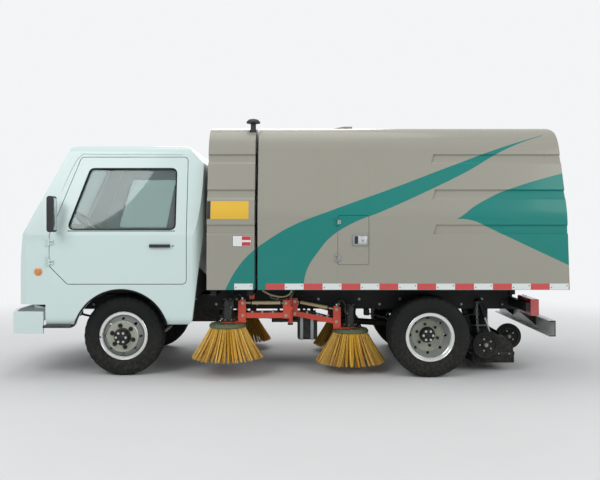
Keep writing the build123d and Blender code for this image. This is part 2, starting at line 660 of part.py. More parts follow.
cavity = body_run(REAR_X, HOPPER_FRONT_X, WALL, 1.0) & inner_prism
rear_mouth = body_run(REAR_X - 20, REAR_X + 200, BAND, 1.0)
shell = outer - cavity - rear_mouth
for z0 in GROOVE_ZS:
    z1 = z0 + GROOVE_H
    reach = side_plate([
        (REAR_X - 50, z0 - 30), (GROOVE_FRONT_X, z0 - 30), (GROOVE_FRONT_X - GROOVE_SLANT, z1 + 30),
        (REAR_X - 50, z1 + 30),
    ], 0, BODY_HALF_W + 20)
    cutter = groove_cutter(z0, REAR_X - 40, GROOVE_FRONT_X + 40) & reach
    shell -= cutter
    shell -= other_side(cutter)

# Access doors: side, x0, x1, z0, z1
ACCESS = {
    "left": (1, -737.0, -456.0, 1027.0, 1470.0),
    "right": (-1, -753.0, -460.0, 1070.0, 1472.0),
}
ACCESS_GAP = 3.0
ACCESS_R = 18.0
ACCESS_PIN_R = 5.0


def side_prism_of(side, x0, x1, z0, z1, r, depth=WALL + 20):
    """A rounded rectangular prism through one side wall."""
    y0, y1 = sorted((side * (BODY_HALF_W - depth), side * (BODY_HALF_W + 20)))
    return side_plate([(x0, z0), (x1, z0), (x1, z1), (x0, z1)], y0, y1, r)


for name, (side, x0, x1, z0, z1) in ACCESS.items():
    shell -= side_prism_of(side, x0, x1, z0, z1, ACCESS_R)
    hinge_x = x1 - 4.0
    hinge_y = side * (BODY_HALF_W + 7)
    leaf = side_prism_of(side, x0 + ACCESS_GAP, x1 - ACCESS_GAP, z0 + ACCESS_GAP, z1 - ACCESS_GAP,
                         ACCESS_R - ACCESS_GAP)
    y_in, y_out = sorted((side * (BODY_HALF_W - 22), side * BODY_HALF_W))
    leaf &= block(x0, x1, y_in, y_out, z0, z1)
    latch_z = (z0 + z1) / 2
    y_in, y_out = sorted((side * BODY_HALF_W, side * (BODY_HALF_W + 9)))
    leaf += side_plate([(x0 + 8, latch_z - 50), (x0 + 146, latch_z - 50), (x0 + 146, latch_z + 50),
                        (x0 + 8, latch_z + 50)], y_in, y_out, 10)
    for z in (z0 + 60, z1 - 60):
        y_in, y_out = sorted((side * (BODY_HALF_W - 6), side * (BODY_HALF_W + 7)))
        leaf += block(hinge_x - 26, hinge_x, y_in, y_out, z - 18, z + 18)
        leaf += bar_z(hinge_x, hinge_y, z - 18, z + 18, 7)
        leaf -= bar_z(hinge_x, hinge_y, z - 30, z + 30, ACCESS_PIN_R + FIT)
        y_in, y_out = sorted((side * BODY_HALF_W, side * (BODY_HALF_W + 12)))
        for zz in (z - 30, z + 18 + FIT):
            shell += block(hinge_x, hinge_x + 30, y_in, y_out, zz, zz + 12 - FIT)
            shell += bar_z(hinge_x, hinge_y, zz, zz + 12 - FIT, 6.5)
        shell += bar_z(hinge_x, hinge_y, z - 30, z + 30, ACCESS_PIN_R)
    save("access_door_" + name, leaf)

# Grille panel on the right, with staggered rows of slots
GRILLE = (-410.0, 215.0, 1004.0, 1630.0)
GRILLE_T = 8.0
SLOT_W = 52.0
SLOT_H = 15.0
SLOT_PITCH = 69.0
ROW_PITCH = 26.5
ROW_COUNT = 23
LONG_ROW = 9
gx0, gx1, gz0, gz1 = GRILLE
thin = body_run(gx0, gx1) - body_run(gx0 - 1, gx1 + 1, GRILLE_T, 1.0)
window = block(gx0, gx1, -BODY_HALF_W - 20, -BODY_HALF_W + 120, gz0, gz1)
shell -= window
grille = thin & window
slots = []
mid_x, mid_z = (gx0 + gx1) / 2, (gz0 + gz1) / 2
for row in range(ROW_COUNT):
    count = LONG_ROW - row % 2
    z = mid_z + (row - (ROW_COUNT - 1) / 2) * ROW_PITCH
    for col in range(count):
        x = mid_x + (col - (count - 1) / 2) * SLOT_PITCH
        slots.append(block(x - SLOT_W / 2, x + SLOT_W / 2, -BODY_HALF_W - 20, -BODY_HALF_W + 120,
                           z - SLOT_H / 2, z + SLOT_H / 2))
grille = grille - slots
save("side_grille", grille)

# Roof outlet: a wedge with its open end to the rear, and a lifting eye near the rear
outlet = side_plate([(-190, ROOF_Z - 20), (-640, ROOF_Z - 20), (-640, ROOF_Z + 50), (-560, ROOF_Z + 50)],
                    -260, 260)
outlet -= side_plate([(-300, ROOF_Z - 8), (-660, ROOF_Z - 8), (-660, ROOF_Z + 42), (-565, ROOF_Z + 42)],
                     -252, 252)
shell -= side_plate([
    (-190 + SEAT, ROOF_Z - 20 - SEAT), (-640 - SEAT, ROOF_Z - 20 - SEAT),
    (-640 - SEAT, ROOF_Z + 50), (-190 + SEAT, ROOF_Z + 50),
], -260 - SEAT, 260 + SEAT)
LIFT_RING_X = -2050.0
LIFT_RING_Z = ROOF_Z + 28.0
LIFT_RING_BORE_R = 19.0
LIFT_RING_T = 14.0
lift_eye = bar_y(LIFT_RING_X, -LIFT_RING_T / 2, LIFT_RING_T / 2, LIFT_RING_Z, LIFT_RING_BORE_R + 12)
lift_eye += block(LIFT_RING_X - 40, LIFT_RING_X + 40, -LIFT_RING_T / 2, LIFT_RING_T / 2,
                  ROOF_Z - 8, ROOF_Z + 8)
lift_eye -= bar_y(LIFT_RING_X, -LIFT_RING_T, LIFT_RING_T, LIFT_RING_Z, LIFT_RING_BORE_R)
shell -= block(LIFT_RING_X - 40 - SEAT, LIFT_RING_X + 40 + SEAT,
               -LIFT_RING_T / 2 - SEAT, LIFT_RING_T / 2 + SEAT,
               ROOF_Z - 8 - SEAT, ROOF_Z + 8)

# Joints between the shell's plates: across it, along its sides and roof corners, and beside the access doors
PLATE_REAR_X = REAR_X + 180.0
PLATE_FRONT_X = HOPPER_FRONT_X - 30.0 - SEAT
SIDE_JOINTS_Z = (KNEE_Z - 44.0, CORNER_Z - 230.0, CORNER_Z - 110.0)
ROOF_JOINTS_Y = (BODY_HALF_W * 0.57, BODY_HALF_W * 0.72)
SKIN_Y = BODY_HALF_W + SEAT
joints = [
    block(PLATE_REAR_X, PLATE_REAR_X + SEAT, -SKIN_Y, SKIN_Y, BODY_Z0 - 5, ROOF_Z + 5),
    block(PLATE_FRONT_X, PLATE_FRONT_X + SEAT, -SKIN_Y, SKIN_Y, BODY_Z0 - 5, ROOF_Z + 5),
]
for z in SIDE_JOINTS_Z:
    joints.append(block(REAR_X - 10, PLATE_FRONT_X + SEAT / 2, -SKIN_Y, SKIN_Y, z, z + SEAT))
for y in ROOF_JOINTS_Y:
    joints += pair(block(REAR_X - 10, PLATE_FRONT_X + SEAT / 2, y, y + SEAT,
                         SIDE_JOINTS_Z[2] + SEAT / 2, ROOF_Z + 5))
for side, x0, x1, z0, z1 in ACCESS.values():
    y_in, y_out = sorted((side * 780, side * SKIN_Y))
    for x in (x0 - SEAT, x1):
        joints.append(block(x, x + SEAT, y_in, y_out, BODY_Z0 - 5, SIDE_JOINTS_Z[1] + SEAT / 2))
shell -= joints
save("hopper_shell", [shell, outlet, lift_eye])

# Hopper bin: floor, bulkhead, rear wall with the tail door's opening, sills and hinge lugs
inside = body_run(REAR_X, HOPPER_FRONT_X, WALL + SEAT)
bin_floor = inside & block(REAR_WALL_X + BIN_T + SEAT, BULKHEAD_X - SEAT, -BODY_HALF_W, BODY_HALF_W,
                           BIN_FLOOR_Z, BIN_FLOOR_Z + BIN_T)
bulkhead = inside & block(BULKHEAD_X, BULKHEAD_X + BIN_T, -BODY_HALF_W, BODY_HALF_W, BIN_FLOOR_Z, ROOF_Z)
rear_wall = inside & block(REAR_WALL_X, REAR_WALL_X + BIN_T, -BODY_HALF_W, BODY_HALF_W, BODY_Z0, ROOF_Z)
rear_wall -= end_plate([(-650, BODY_Z0 - 90), (650, BODY_Z0 - 90), (650, REAR_SKIRT_Z), (-650, REAR_SKIRT_Z)],
                       REAR_WALL_X - 1, REAR_WALL_X + BIN_T + 1, 80)
MOUTH_Z0 = DOOR_Z0 + 45.0
MOUTH_Z1 = DOOR_Z1 - 45.0
rear_wall -= end_plate([(-790, MOUTH_Z0), (790, MOUTH_Z0), (760, MOUTH_Z1), (-760, MOUTH_Z1)],
                       REAR_WALL_X - 1, REAR_WALL_X + BIN_T + 1)
wall_joints = [
    block(REAR_WALL_X - 1, REAR_WALL_X + BIN_T + 1, -BODY_HALF_W, BODY_HALF_W, MOUTH_Z0 - SEAT, MOUTH_Z0),
    block(REAR_WALL_X - 1, REAR_WALL_X + BIN_T + 1, -BODY_HALF_W, BODY_HALF_W, MOUTH_Z1, MOUTH_Z1 + SEAT),
]
wall_joints += pair(block(REAR_WALL_X - 1, REAR_WALL_X + BIN_T + 1, 570, 570 + SEAT,
                          BODY_Z0 - 5, MOUTH_Z0 - SEAT / 2))
rear_wall -= wall_joints
LUG_X = REAR_WALL_X - SEAT
SILL_REAR_X = -2330.0
# Outriggers from the sills to the side walls: rear x, front x
OUTRIGGERS = ((SILL_REAR_X, -2290.0), (-1300.0, -1240.0), (BULKHEAD_X - 60, BULKHEAD_X), (191.0, 219.0))
sill = block(SILL_REAR_X, HOPPER_FRONT_X - 40, SILL_Y0, SILL_Y1, BODY_Z0, BIN_FLOOR_Z - SEAT)
sill += block(TIP_X - 28, TIP_X + 28, SILL_Y0 + 0.4, SILL_Y1 - 0.4, TIP_Z, BODY_Z0)
sill += bar_y(TIP_X, SILL_Y0 + 0.4, SILL_Y1 - 0.4, TIP_Z, 28)
sill -= bar_y(TIP_X, SILL_Y0 - 5, SILL_Y1 + 5, TIP_Z, TIP_PIN_R + FIT)
bin_parts = [bin_floor, bulkhead] + pair(sill)
for x0, x1 in OUTRIGGERS:
    bin_parts += pair(block(x0, x1, SILL_Y1 + SEAT, BODY_HALF_W - WALL - SEAT, BODY_Z0 + 20,
                            BIN_FLOOR_Z - SEAT))
bin_parts += pair(block(LIFT_EYE[0] - 40, LIFT_EYE[0] + 40, 30, 44, LIFT_EYE[1] - 30, BIN_FLOOR_Z - SEAT))
for end in (-1, 1):
    hinge_lugs = bar_y(DOOR_HINGE_X, end * DOOR_HINGE_Y - 34, end * DOOR_HINGE_Y + 34, DOOR_HINGE_Z, 9)
    for off in (-40, 28):
        inner = end * DOOR_HINGE_Y + off
        hinge_lugs += block(DOOR_HINGE_X, LUG_X, inner, inner + 12, DOOR_HINGE_Z - 18, DOOR_HINGE_Z + 18)
        hinge_lugs += bar_y(DOOR_HINGE_X, inner, inner + 12, DOOR_HINGE_Z, 18)
    bin_parts.append(hinge_lugs)
tail_lugs = bar_y(TAIL_PIN_X, -32, 32, TAIL_TOP_Z, PIN_R)
for end in (-1, 1):
    inner, outer = sorted((end * 26, end * 38))
    tail_lugs += side_plate([
        (LUG_X, TAIL_TOP_Z - 45), (LUG_X, TAIL_TOP_Z + 45), (TAIL_PIN_X - 16, TAIL_TOP_Z + 16),
        (TAIL_PIN_X - 16, TAIL_TOP_Z - 16),
    ], inner, outer)
bin_parts += [tail_lugs, rear_wall]
save("hopper_bin", bin_parts)

# Tail door with hinge plates, latch bar, cylinder bracket and lower link
door = end_plate([
    (-DOOR_HALF_FOOT, DOOR_Z0), (DOOR_HALF_FOOT, DOOR_Z0), (DOOR_HALF_TOP, DOOR_Z1),
    (-DOOR_HALF_TOP, DOOR_Z1),
], DOOR_X0, DOOR_X1, 60)
for end in (-1, 1):
    y = end * DOOR_HINGE_Y
    door += block(DOOR_X0 - 14, DOOR_X0, y - 64, y + 64, DOOR_Z1 - 136, DOOR_Z1 - 10)
    strap = side_plate([
        (DOOR_X0 - 14, DOOR_Z1 - 130), (DOOR_X0, DOOR_Z1 - 130), (DOOR_X0, DOOR_Z1 - 20),
        (DOOR_HINGE_X + 16, DOOR_HINGE_Z), (DOOR_HINGE_X - 16, DOOR_HINGE_Z),
    ], y - 22, y + 22)
    strap += bar_y(DOOR_HINGE_X, y - 26, y + 26, DOOR_HINGE_Z, 18)
    strap -= bar_y(DOOR_HINGE_X, y - 30, y + 30, DOOR_HINGE_Z, 9 + FIT)
    door += strap
door += bar_y(DOOR_X0 - 22, -535, 535, LATCH_Z, 14)
for y in (-535, -200, 200, 535):
    door += block(DOOR_X0 - 40, DOOR_X0, y - 12, y + 12, LATCH_Z - 22, LATCH_Z + 22)
for end in (-1, 1):
    inner, outer = sorted((end * 523, end * 547))
    door += block(DOOR_X0 - 50, DOOR_X0 - 26, inner, outer, 884, LATCH_Z + 29)
for end in (-1, 1):
    inner, outer = sorted((end * 22, end * 36))
    door += block(TAIL_PIN_X - 20, DOOR_X0, inner, outer, 1234, 1348)
door += block(DOOR_X0 - 50, DOOR_X0, -14, 14, LATCH_Z + 10, 1256)
door += block(DOOR_X0 - 55, DOOR_X0, -45, 45, LATCH_Z - 5, LATCH_Z + 55)
save("tail_door", door)
barrel = bar_z(TAIL_PIN_X, 0, TAIL_BARREL_Z0, TAIL_BARREL_Z1, TAIL_BARREL_R)
barrel += bar_z(TAIL_PIN_X, 0, TAIL_BARREL_Z0 - 14, TAIL_BARREL_Z0 + 20, TAIL_BARREL_R + 4)
barrel += block(TAIL_PIN_X - 16, TAIL_PIN_X + 16, -25.5, 25.5, TAIL_BARREL_Z1 - 10, TAIL_TOP_Z)
barrel += bar_y(TAIL_PIN_X, -25.5, 25.5, TAIL_TOP_Z, 18)
barrel -= bar_y(TAIL_PIN_X, -40, 40, TAIL_TOP_Z, PIN_R + FIT)
barrel -= bar_z(TAIL_PIN_X, 0, TAIL_BARREL_Z0 - 20, TAIL_BARREL_Z1 - 14, TAIL_ROD_R + FIT)
save("tail_cylinder", barrel)
tail_rod = bar_z(TAIL_PIN_X, 0, TAIL_EYE_Z + 8, TAIL_BARREL_Z0 + 130, TAIL_ROD_R)
tail_rod += bar_y(TAIL_PIN_X, -21.6, 21.6, TAIL_EYE_Z, 17)
save("tail_rod", tail_rod)

# Arrow boards on the rear wall, their outline measured from the middle of the left board
BOARD_Y = BODY_HALF_W * 0.54
BOARD_Z = ROOF_Z - 228.0
BOARD_T = 32.0
BOARD_LINE = [
    (-206.0, -41.0), (-206.0, 54.0), (32.0, 54.0), (0.0, 106.0), (85.0, 106.0), (206.0, 5.0),
    (100.0, -105.0), (-4.0, -105.0), (50.0, -41.0),
]
board_points = [(BOARD_Y + y, BOARD_Z + z) for y, z in BOARD_LINE]
board_back = REAR_WALL_X - SEAT
board = end_plate(board_points, board_back - BOARD_T, board_back)
board_cut = extrude(Plane.YZ * offset(outline(board_points), amount=-11), amount=6)
board -= Pos(board_back - BOARD_T, 0, 0) * board_cut
save("arrow_boards", pair(board))

# Lift cylinder of the hopper, between the rails
lift_dx, lift_dz = LIFT_EYE[0] - LIFT_FOOT[0], LIFT_EYE[1] - LIFT_FOOT[1]
lift_len = sqrt(lift_dx ** 2 + lift_dz ** 2)
ux, uz = lift_dx / lift_len, lift_dz / lift_len


def along(distance):
    """A point on the lift cylinder's line, measured from its foot."""
    return LIFT_FOOT[0] + ux * distance, LIFT_FOOT[1] + uz * distance


lift_barrel = slanted_bar(*along(92), *along(LIFT_BARREL_L), 0, LIFT_BARREL_R)
lift_barrel += bar_y(LIFT_FOOT[0], -29.5, 29.5, LIFT_FOOT[1], 32)
lift_barrel += slanted_bar(*along(4), *along(96), 0, 27)
lift_barrel -= bar_y(LIFT_FOOT[0], -60, 60, LIFT_FOOT[1], 14 + FIT)
lift_barrel -= slanted_bar(*along(104), *along(LIFT_BARREL_L + 10), 0, LIFT_ROD_R + FIT)
save("lift_cylinder", lift_barrel)
lift_rod = slanted_bar(*along(110), *along(lift_len - 10), 0, LIFT_ROD_R)
lift_rod += bar_y(LIFT_EYE[0], -29.5, 29.5, LIFT_EYE[1], 27)
save("lift_rod", lift_rod)

# Brush arms. Each row: side, direction, arm plane y, brush y, droop in degrees
ARMS = {
    "front_left": (1, 1, 740.0, 760.0, 0.0),
    "rear_left": (1, -1, 600.0, 560.0, 11.0),
    "front_right": (-1, 1, 740.0, 760.0, 12.0),
    "rear_right": (-1, -1, 600.0, 560.0, 15.0),
}
CHEEK_T = 8.0
CHEEK_GAP = 0.5
FOOT_T = 8.0
MOTOR_R = 50.0
MOTOR_H = 205.0


def cheeks(x, y, z_low, z_high, margin):
    """Two side plates with a lower and an upper pin across them."""
    shape = None
    for end in (-1, 1):
        near = y + end * (ARM_BAR_T / 2 + CHEEK_GAP)
        y0, y1 = sorted((near, near + end * CHEEK_T))
        plate = side_plate([(x - margin, z_low - margin), (x + margin, z_low - margin),
                            (x + margin, z_high + margin), (x - margin, z_high + margin)], y0, y1, 8)
        shape = plate if shape is None else shape + plate
    reach = ARM_BAR_T / 2 + CHEEK_GAP + CHEEK_T / 2
    for z in (z_low, z_high):
        shape += bar_y(x, y - reach, y + reach, z, PIN_R)
    return shape


brackets = []
for name, (side, way, arm_y, brush_y, droop) in ARMS.items():
    y = side * arm_y
    x0 = ARM_BASE_X + way * ARM_BASE_HALF
    dx = way * ARM_L * cos(radians(droop))
    drop = ARM_L * sin(radians(droop))
    x1, z1 = x0 + dx, ARM_LOW_Z - drop
    top = ARM_LOW_Z + ARM_RISE
    lower = eye_bar(x0, ARM_LOW_Z, x1, z1, y, 25, ARM_BAR_T, PIN_R + FIT)
    save("brush_arm_lower_" + name, lower)
    upper = slanted_bar(x0, top, x1, z1 + ARM_RISE, y, 13)
    upper += bar_y(x0, y - ARM_BAR_T / 2, y + ARM_BAR_T / 2, top, 20)
    upper += bar_y(x1, y - ARM_BAR_T / 2, y + ARM_BAR_T / 2, z1 + ARM_RISE, 20)
    upper -= bar_y(x0, y - 30, y + 30, top, PIN_R + FIT)
    upper -= bar_y(x1, y - 30, y + 30, z1 + ARM_RISE, PIN_R + FIT)
    save("brush_arm_upper_" + name, upper)
    head = cheeks(x1, y, z1, z1 + ARM_RISE, 28)
    bx, by = x1 + way * HEAD_REACH, side * brush_y
    foot_z = z1 - 55 - FOOT_T
    xa, xb = sorted((x1 - way * 28, bx))
    head += block(xa, xb, y - 45, y + 45, foot_z, foot_z + FOOT_T)
    head += bar_z(bx, by, foot_z, foot_z + FOOT_T, 62)
    xa, xb = sorted((x1 + way * 34, x1 + way * 42))
    head += block(xa, xb, y - 27, y + 27, foot_z, z1 + ARM_RISE + 20)
    for end in (-1, 1):
        near = y + end * (ARM_BAR_T / 2 + CHEEK_GAP)
        y0, y1 = sorted((near, near + end * CHEEK_T))
        xa, xb = sorted((x1 + way * 20, x1 + way * 42))
        head += block(xa, xb, y0, y1, foot_z, z1 + ARM_RISE + 20)
        head += block(x1 - 26, x1 + 26, y0, y1, foot_z, z1)
    head += bar_z(bx, by, foot_z + FOOT_T, foot_z + MOTOR_H, MOTOR_R)
    save("brush_head_" + name, head)
    disc_top = foot_z - 6
    disc_z0 = disc_top - DISC_T
    brush = turned_z([
        (0, foot_z - FIT), (26, foot_z - FIT), (26, disc_top), (DISC_R - 12, disc_top),
        (DISC_R, disc_z0 + 8), (DISC_R, disc_z0), (TIP_R, disc_z0 - BRISTLE_H),
        (TIP_R - 90, disc_z0 - BRISTLE_H), (DISC_R - 70, disc_z0), (0, disc_z0),
    ], bx, by)
    save("brush_" + name, brush)
    bracket = cheeks(x0, y, ARM_LOW_Z, top, 28)
    xa, xb = sorted((x0 - way * 34, ARM_BASE_X))
    bracket += block(xa, xb, y - 27, y + 27, ARM_LOW_Z - 26, top + 28)
    for end in (-1, 1):
        near = y + end * (ARM_BAR_T / 2 + CHEEK_GAP)
        y0, y1 = sorted((near, near + end * CHEEK_T))
        xa, xb = sorted((x0 - way * 36, x0 - way * 20))
        bracket += block(xa, xb, y0, y1, ARM_LOW_Z - 26, top + 28)
    brackets.append((side, bracket))
arm_mounts = []
for side in (1, -1):
    y0, y1 = sorted((side * (RAIL_Y + 0.3), side * 767.0))
    mount = block(ARM_BASE_X - 5, ARM_BASE_X + 5, y0, y1, 575, 640)
    for own, bracket in brackets:
        if own == side:
            mount += bracket
    mount += bar_z(ARM_BASE_X, side * 670, 446, 700, 22)
    mount += block(ARM_BASE_X - 22, ARM_BASE_X + 22, y0, y1, 600, 628)
    arm_mounts.append(mount)
    y0, y1 = sorted((side * 652, side * 708))
    post = block(SILL_XS[0] - 24, SILL_XS[0] + 24, y0, y1, 690, SUB_TOP_Z - 52.3)
    arm_mounts.append(post)
save("brush_brackets", arm_mounts)

# Suction nozzle with its duct and drag links, and its three wheels
NOZZLE_X = (-1750.0, -1850.0, -2050.0, -2130.0)
SIDE_WHEEL = (-1854.0, 700.0, 263.0)
REAR_WHEEL = (-2269.0, 0.0, 234.0)
WHEEL_PIN_R = 12.0
nozzle = side_plate([
    (NOZZLE_X[0], 150), (NOZZLE_X[0], 260), (NOZZLE_X[1], 330), (NOZZLE_X[2], 330),
    (NOZZLE_X[3], 240), (NOZZLE_X[3], 150),
], -NOZZLE_HALF_W, NOZZLE_HALF_W)
nozzle -= side_plate([
    (NOZZLE_X[0] - 10, 140), (NOZZLE_X[0] - 10, 254), (NOZZLE_X[1] - 2, 320), (NOZZLE_X[2] + 2, 320),
    (NOZZLE_X[3] + 10, 234), (NOZZLE_X[3] + 10, 140),
], -NOZZLE_HALF_W + 10, NOZZLE_HALF_W - 10)
DUCT_R = 100.0
duct_x = (NOZZLE_X[1] + NOZZLE_X[2]) / 2
nozzle += bar_z(duct_x, 0, 320, BODY_Z0 - 8, DUCT_R)
nozzle -= bar_z(duct_x, 0, 300, BODY_Z0 + 8, DUCT_R - 8)
for end in (-1, 1):
    y0, y1 = sorted((end * (NOZZLE_HALF_W - 1), end * (NOZZLE_HALF_W + 16)))
    nozzle += block(SIDE_WHEEL[0] - 30, SIDE_WHEEL[0] + 30, y0, y1, 225, 300)
    y0, y1 = sorted((end * (NOZZLE_HALF_W + 10), end * (SIDE_WHEEL[1] + 30)))
    nozzle += bar_y(SIDE_WHEEL[0], y0, y1, SIDE_WHEEL[2], WHEEL_PIN_R)
    y0, y1 = sorted((end * 28, end * 38))
    nozzle += side_plate([
        (REAR_WHEEL[0] - 20, REAR_WHEEL[2] - 20), (NOZZLE_X[3] + 4, 170), (NOZZLE_X[3] + 4, 236),
        (REAR_WHEEL[0] - 20, REAR_WHEEL[2] + 20),
    ], y0, y1)
    y0, y1 = sorted((end * 240, end * 252))
    nozzle += side_plate([
        (-1780, RAIL_Z0 + 11.7), (-1720, RAIL_Z0 + 11.7), (-1790, 300), (-1850, 300),
    ], y0, y1)
nozzle += bar_y(REAR_WHEEL[0], -34, 34, REAR_WHEEL[2], WHEEL_PIN_R)
save("suction_nozzle", nozzle)


def small_wheel(x, y, z):
    """A solid rubber wheel with a raised hub."""
    half = NOZZLE_WHEEL_W / 2
    return Pos(0, y, 0) * turned_y([
        (WHEEL_PIN_R + FIT, -half), (34, -half), (40, -half + 10), (84, -half + 10), (90, -half),
        (NOZZLE_WHEEL_R - 8, -half), (NOZZLE_WHEEL_R, -half + 8), (NOZZLE_WHEEL_R, half - 8),
        (NOZZLE_WHEEL_R - 8, half), (90, half), (84, half - 10), (40, half - 10), (34, half),
        (WHEEL_PIN_R + FIT, half),
    ], x, z)


save("nozzle_wheel_left", small_wheel(*SIDE_WHEEL))
save("nozzle_wheel_right", small_wheel(SIDE_WHEEL[0], -SIDE_WHEEL[1], SIDE_WHEEL[2]))
save("nozzle_wheel_rear", small_wheel(*REAR_WHEEL))

# Rear bumper on sloping arms, and tail lamps on the lamp bar
BUMPER_HALF_W = 897.0
BUMPER_X = (RAIL_REAR_X - 240.0, RAIL_REAR_X - 180.0)
bumper = side_plate([
    (BUMPER_X[1], 371), (BUMPER_X[0], 371), (BUMPER_X[0], 514), (BUMPER_X[1], 514),
    (BUMPER_X[1], 504), (BUMPER_X[0] + 10, 504), (BUMPER_X[0] + 10, 381), (BUMPER_X[1], 381),
], -BUMPER_HALF_W, BUMPER_HALF_W)
bumper_arm = side_plate([
    (RAIL_REAR_X + 120, RAIL_Z0), (RAIL_REAR_X + 120, 650), (RAIL_REAR_X - 20, 650),
    (BUMPER_X[0] + 9, 504), (BUMPER_X[0] + 9, 400), (RAIL_REAR_X - 40, RAIL_Z0),
], RAIL_Y + 0.3, RAIL_Y + 10)
bumper_arm -= block(RAIL_REAR_X - 0.3, RAIL_REAR_X + 40.3, RAIL_Y, RAIL_Y + 20, 599.7, 700)
bumper += bumper_arm
bumper += other_side(bumper_arm)
save("rear_bumper", bumper)
lamp = side_plate([
    (RAIL_REAR_X - 74, 564), (RAIL_REAR_X - SEAT, 564), (RAIL_REAR_X - SEAT, 714), (RAIL_REAR_X - 74, 714),
], LAMP_BAR_Y - 383, LAMP_BAR_Y + 7, 10)
save("tail_lamps", pair(lamp))

# Front bumper with its headlamp housings, on brackets from the rails
front_plan = [
    (FRONT_X - 60, -CAB_HALF_W), (FRONT_X, -700), (FRONT_X, 700), (FRONT_X - 60, CAB_HALF_W),
    (FRONT_X - 330, CAB_HALF_W), (FRONT_X - 330, CAB_HALF_W - 20), (FRONT_X - 84, CAB_HALF_W - 25),
    (FRONT_X - 30, 690), (FRONT_X - 30, -690), (FRONT_X - 84, -CAB_HALF_W + 25),
    (FRONT_X - 330, -CAB_HALF_W + 20), (FRONT_X - 330, -CAB_HALF_W),
]
front_bumper = floor_plate(front_plan, 400, 600)
for end in (-1, 1):
    y0, y1 = sorted((end * 560, end * 830))
    front_bumper -= block(FRONT_X - 24, FRONT_X + 20, y0, y1, 455, 555)
    y0, y1 = sorted((end * 318, end * 348))
    front_bumper += block(RAIL_FRONT_X + 0.3, FRONT_X - 20, y0, y1, 562, 596)
save("front_bumper", front_bumper)

# Cab: outer form from its side, front and plan outlines, hollowed, with doors cut from it
def cab_form(inset):
    """The cab's form set in by a distance, as the common part of three outlines."""
    i = inset
    side_pts = [
        (CAB_BACK_X + 95 + i, CAB_SILL_Z + i), (CAB_BACK_X + i, 1300), (CAB_BACK_X + i, 1950 - i * 0.4),
        (CAB_BACK_X + 150 + i * 0.3, CAB_ROOF_Z - i), (1980 - i * 0.4, CAB_ROOF_Z - i),
        (CAB_NOSE_X - 45 - i, CAB_BELT_Z - i * 0.2), (CAB_NOSE_X - i, 900), (CAB_NOSE_X - i, CAB_SILL_Z + i),
    ]
    side_form = side_plate(side_pts, -PAST_CAB_Y, PAST_CAB_Y, 60)
    half = CAB_HALF_W - i
    top_half = CAB_HALF_W - CAB_LEAN * (CAB_ROOF_Z - CAB_BELT_Z) - i
    front_pts = [
        (-half, CAB_SILL_Z - 20), (-half, CAB_BELT_Z), (-top_half, CAB_ROOF_Z - i + 1),
        (top_half, CAB_ROOF_Z - i + 1), (half, CAB_BELT_Z), (half, CAB_SILL_Z - 20),
    ]
    front_form = end_plate(front_pts, 600, 2600, 90)
    plan_pts = [
        (CAB_BACK_X + i - 0.5, -half - 4), (CAB_NOSE_X - i + 0.5, -half - 4),
        (CAB_NOSE_X - i + 0.5, half + 4), (CAB_BACK_X + i - 0.5, half + 4),
    ]
    plan_form = floor_plate(plan_pts, 300, 2300, 120)
    return side_form & front_form & plan_form


cab_outer = cab_form(0)
cab_inner = cab_form(CAB_WALL)
floor_top = CAB_FLOOR_Z + 40
cab = cab_outer - cab_inner
cab -= block(CAB_BACK_X - 50, CAB_NOSE_X - 50, -CAB_HALF_W + 50, CAB_HALF_W - 50, 300, CAB_FLOOR_Z)
cab -= block(600, 2600, -PAST_CAB_Y, PAST_CAB_Y, 300, CAB_SILL_Z)
cab -= block(2180, 2600, -PAST_CAB_Y, PAST_CAB_Y, 300, 665)
arch = bar_y(FRONT_AXLE_X, 440, PAST_CAB_Y, TYRE_R, ARCH_R)
well = bar_y(FRONT_AXLE_X, 425, CAB_HALF_W - 40, TYRE_R, ARCH_R + 22)
well &= block(900, 2200, 0, PAST_CAB_Y, CAB_FLOOR_Z, 1000)
SEAT_Z = 826.0
well += block(1080, 1700, 130, CAB_HALF_W - 40, CAB_FLOOR_Z + 10, SEAT_Z)
floor_pan = block(600, 2600, -PAST_CAB_Y, PAST_CAB_Y, CAB_FLOOR_Z, floor_top)
floor_pan += well
floor_pan += other_side(well)
floor_pan &= cab_form(CAB_WALL + SEAT)
for wheel_arch in pair(arch):
    cab -= wheel_arch
    floor_pan -= wheel_arch

# Recess at the right rear corner for the intake box
BOX_X0, BOX_X1 = CAB_BACK_X + 4, CAB_BACK_X + 120
BOX_Y = CAB_HALF_W - 20.0
BOX_Y_IN = 640.0
BOX_Z0, BOX_Z1 = 930.0, 1880.0
recess = block(CAB_BACK_X - 20, BOX_X1 + 4, -PAST_CAB_Y, -BOX_Y_IN + 8, CAB_SILL_Z - 10, BOX_Z1 + 20)
liner = block(CAB_BACK_X + 1, BOX_X1 + 24, -CAB_HALF_W + 30, -BOX_Y_IN + 28, CAB_FLOOR_Z, BOX_Z1 + 40)
cab += cab_outer & liner
cab -= recess
floor_pan -= block(BOX_X0 - 40, BOX_X1 + 24 + SEAT, -CAB_HALF_W, -BOX_Y_IN + 28 + SEAT, CAB_SILL_Z, BOX_Z1)

# Windows and doors: outlines in the XZ plane
DOOR_LINE = [
    (905, 845), (1985, 845), (2150, 1010), (2150, 1290), (1890, 2010), (905, 2010),
]
SIDE_WINDOW = [(1010, 1340), (1990, 1340), (1800, 1900), (1010, 1900)]
SCREEN_LINE = [(-730, 1375), (730, 1375), (640, 1985), (-640, 1985)]
REAR_WINDOW = [(-560, 1480), (500, 1480), (500, 1860), (-560, 1860)]
HANDLE = (1050.0, 1180.0)

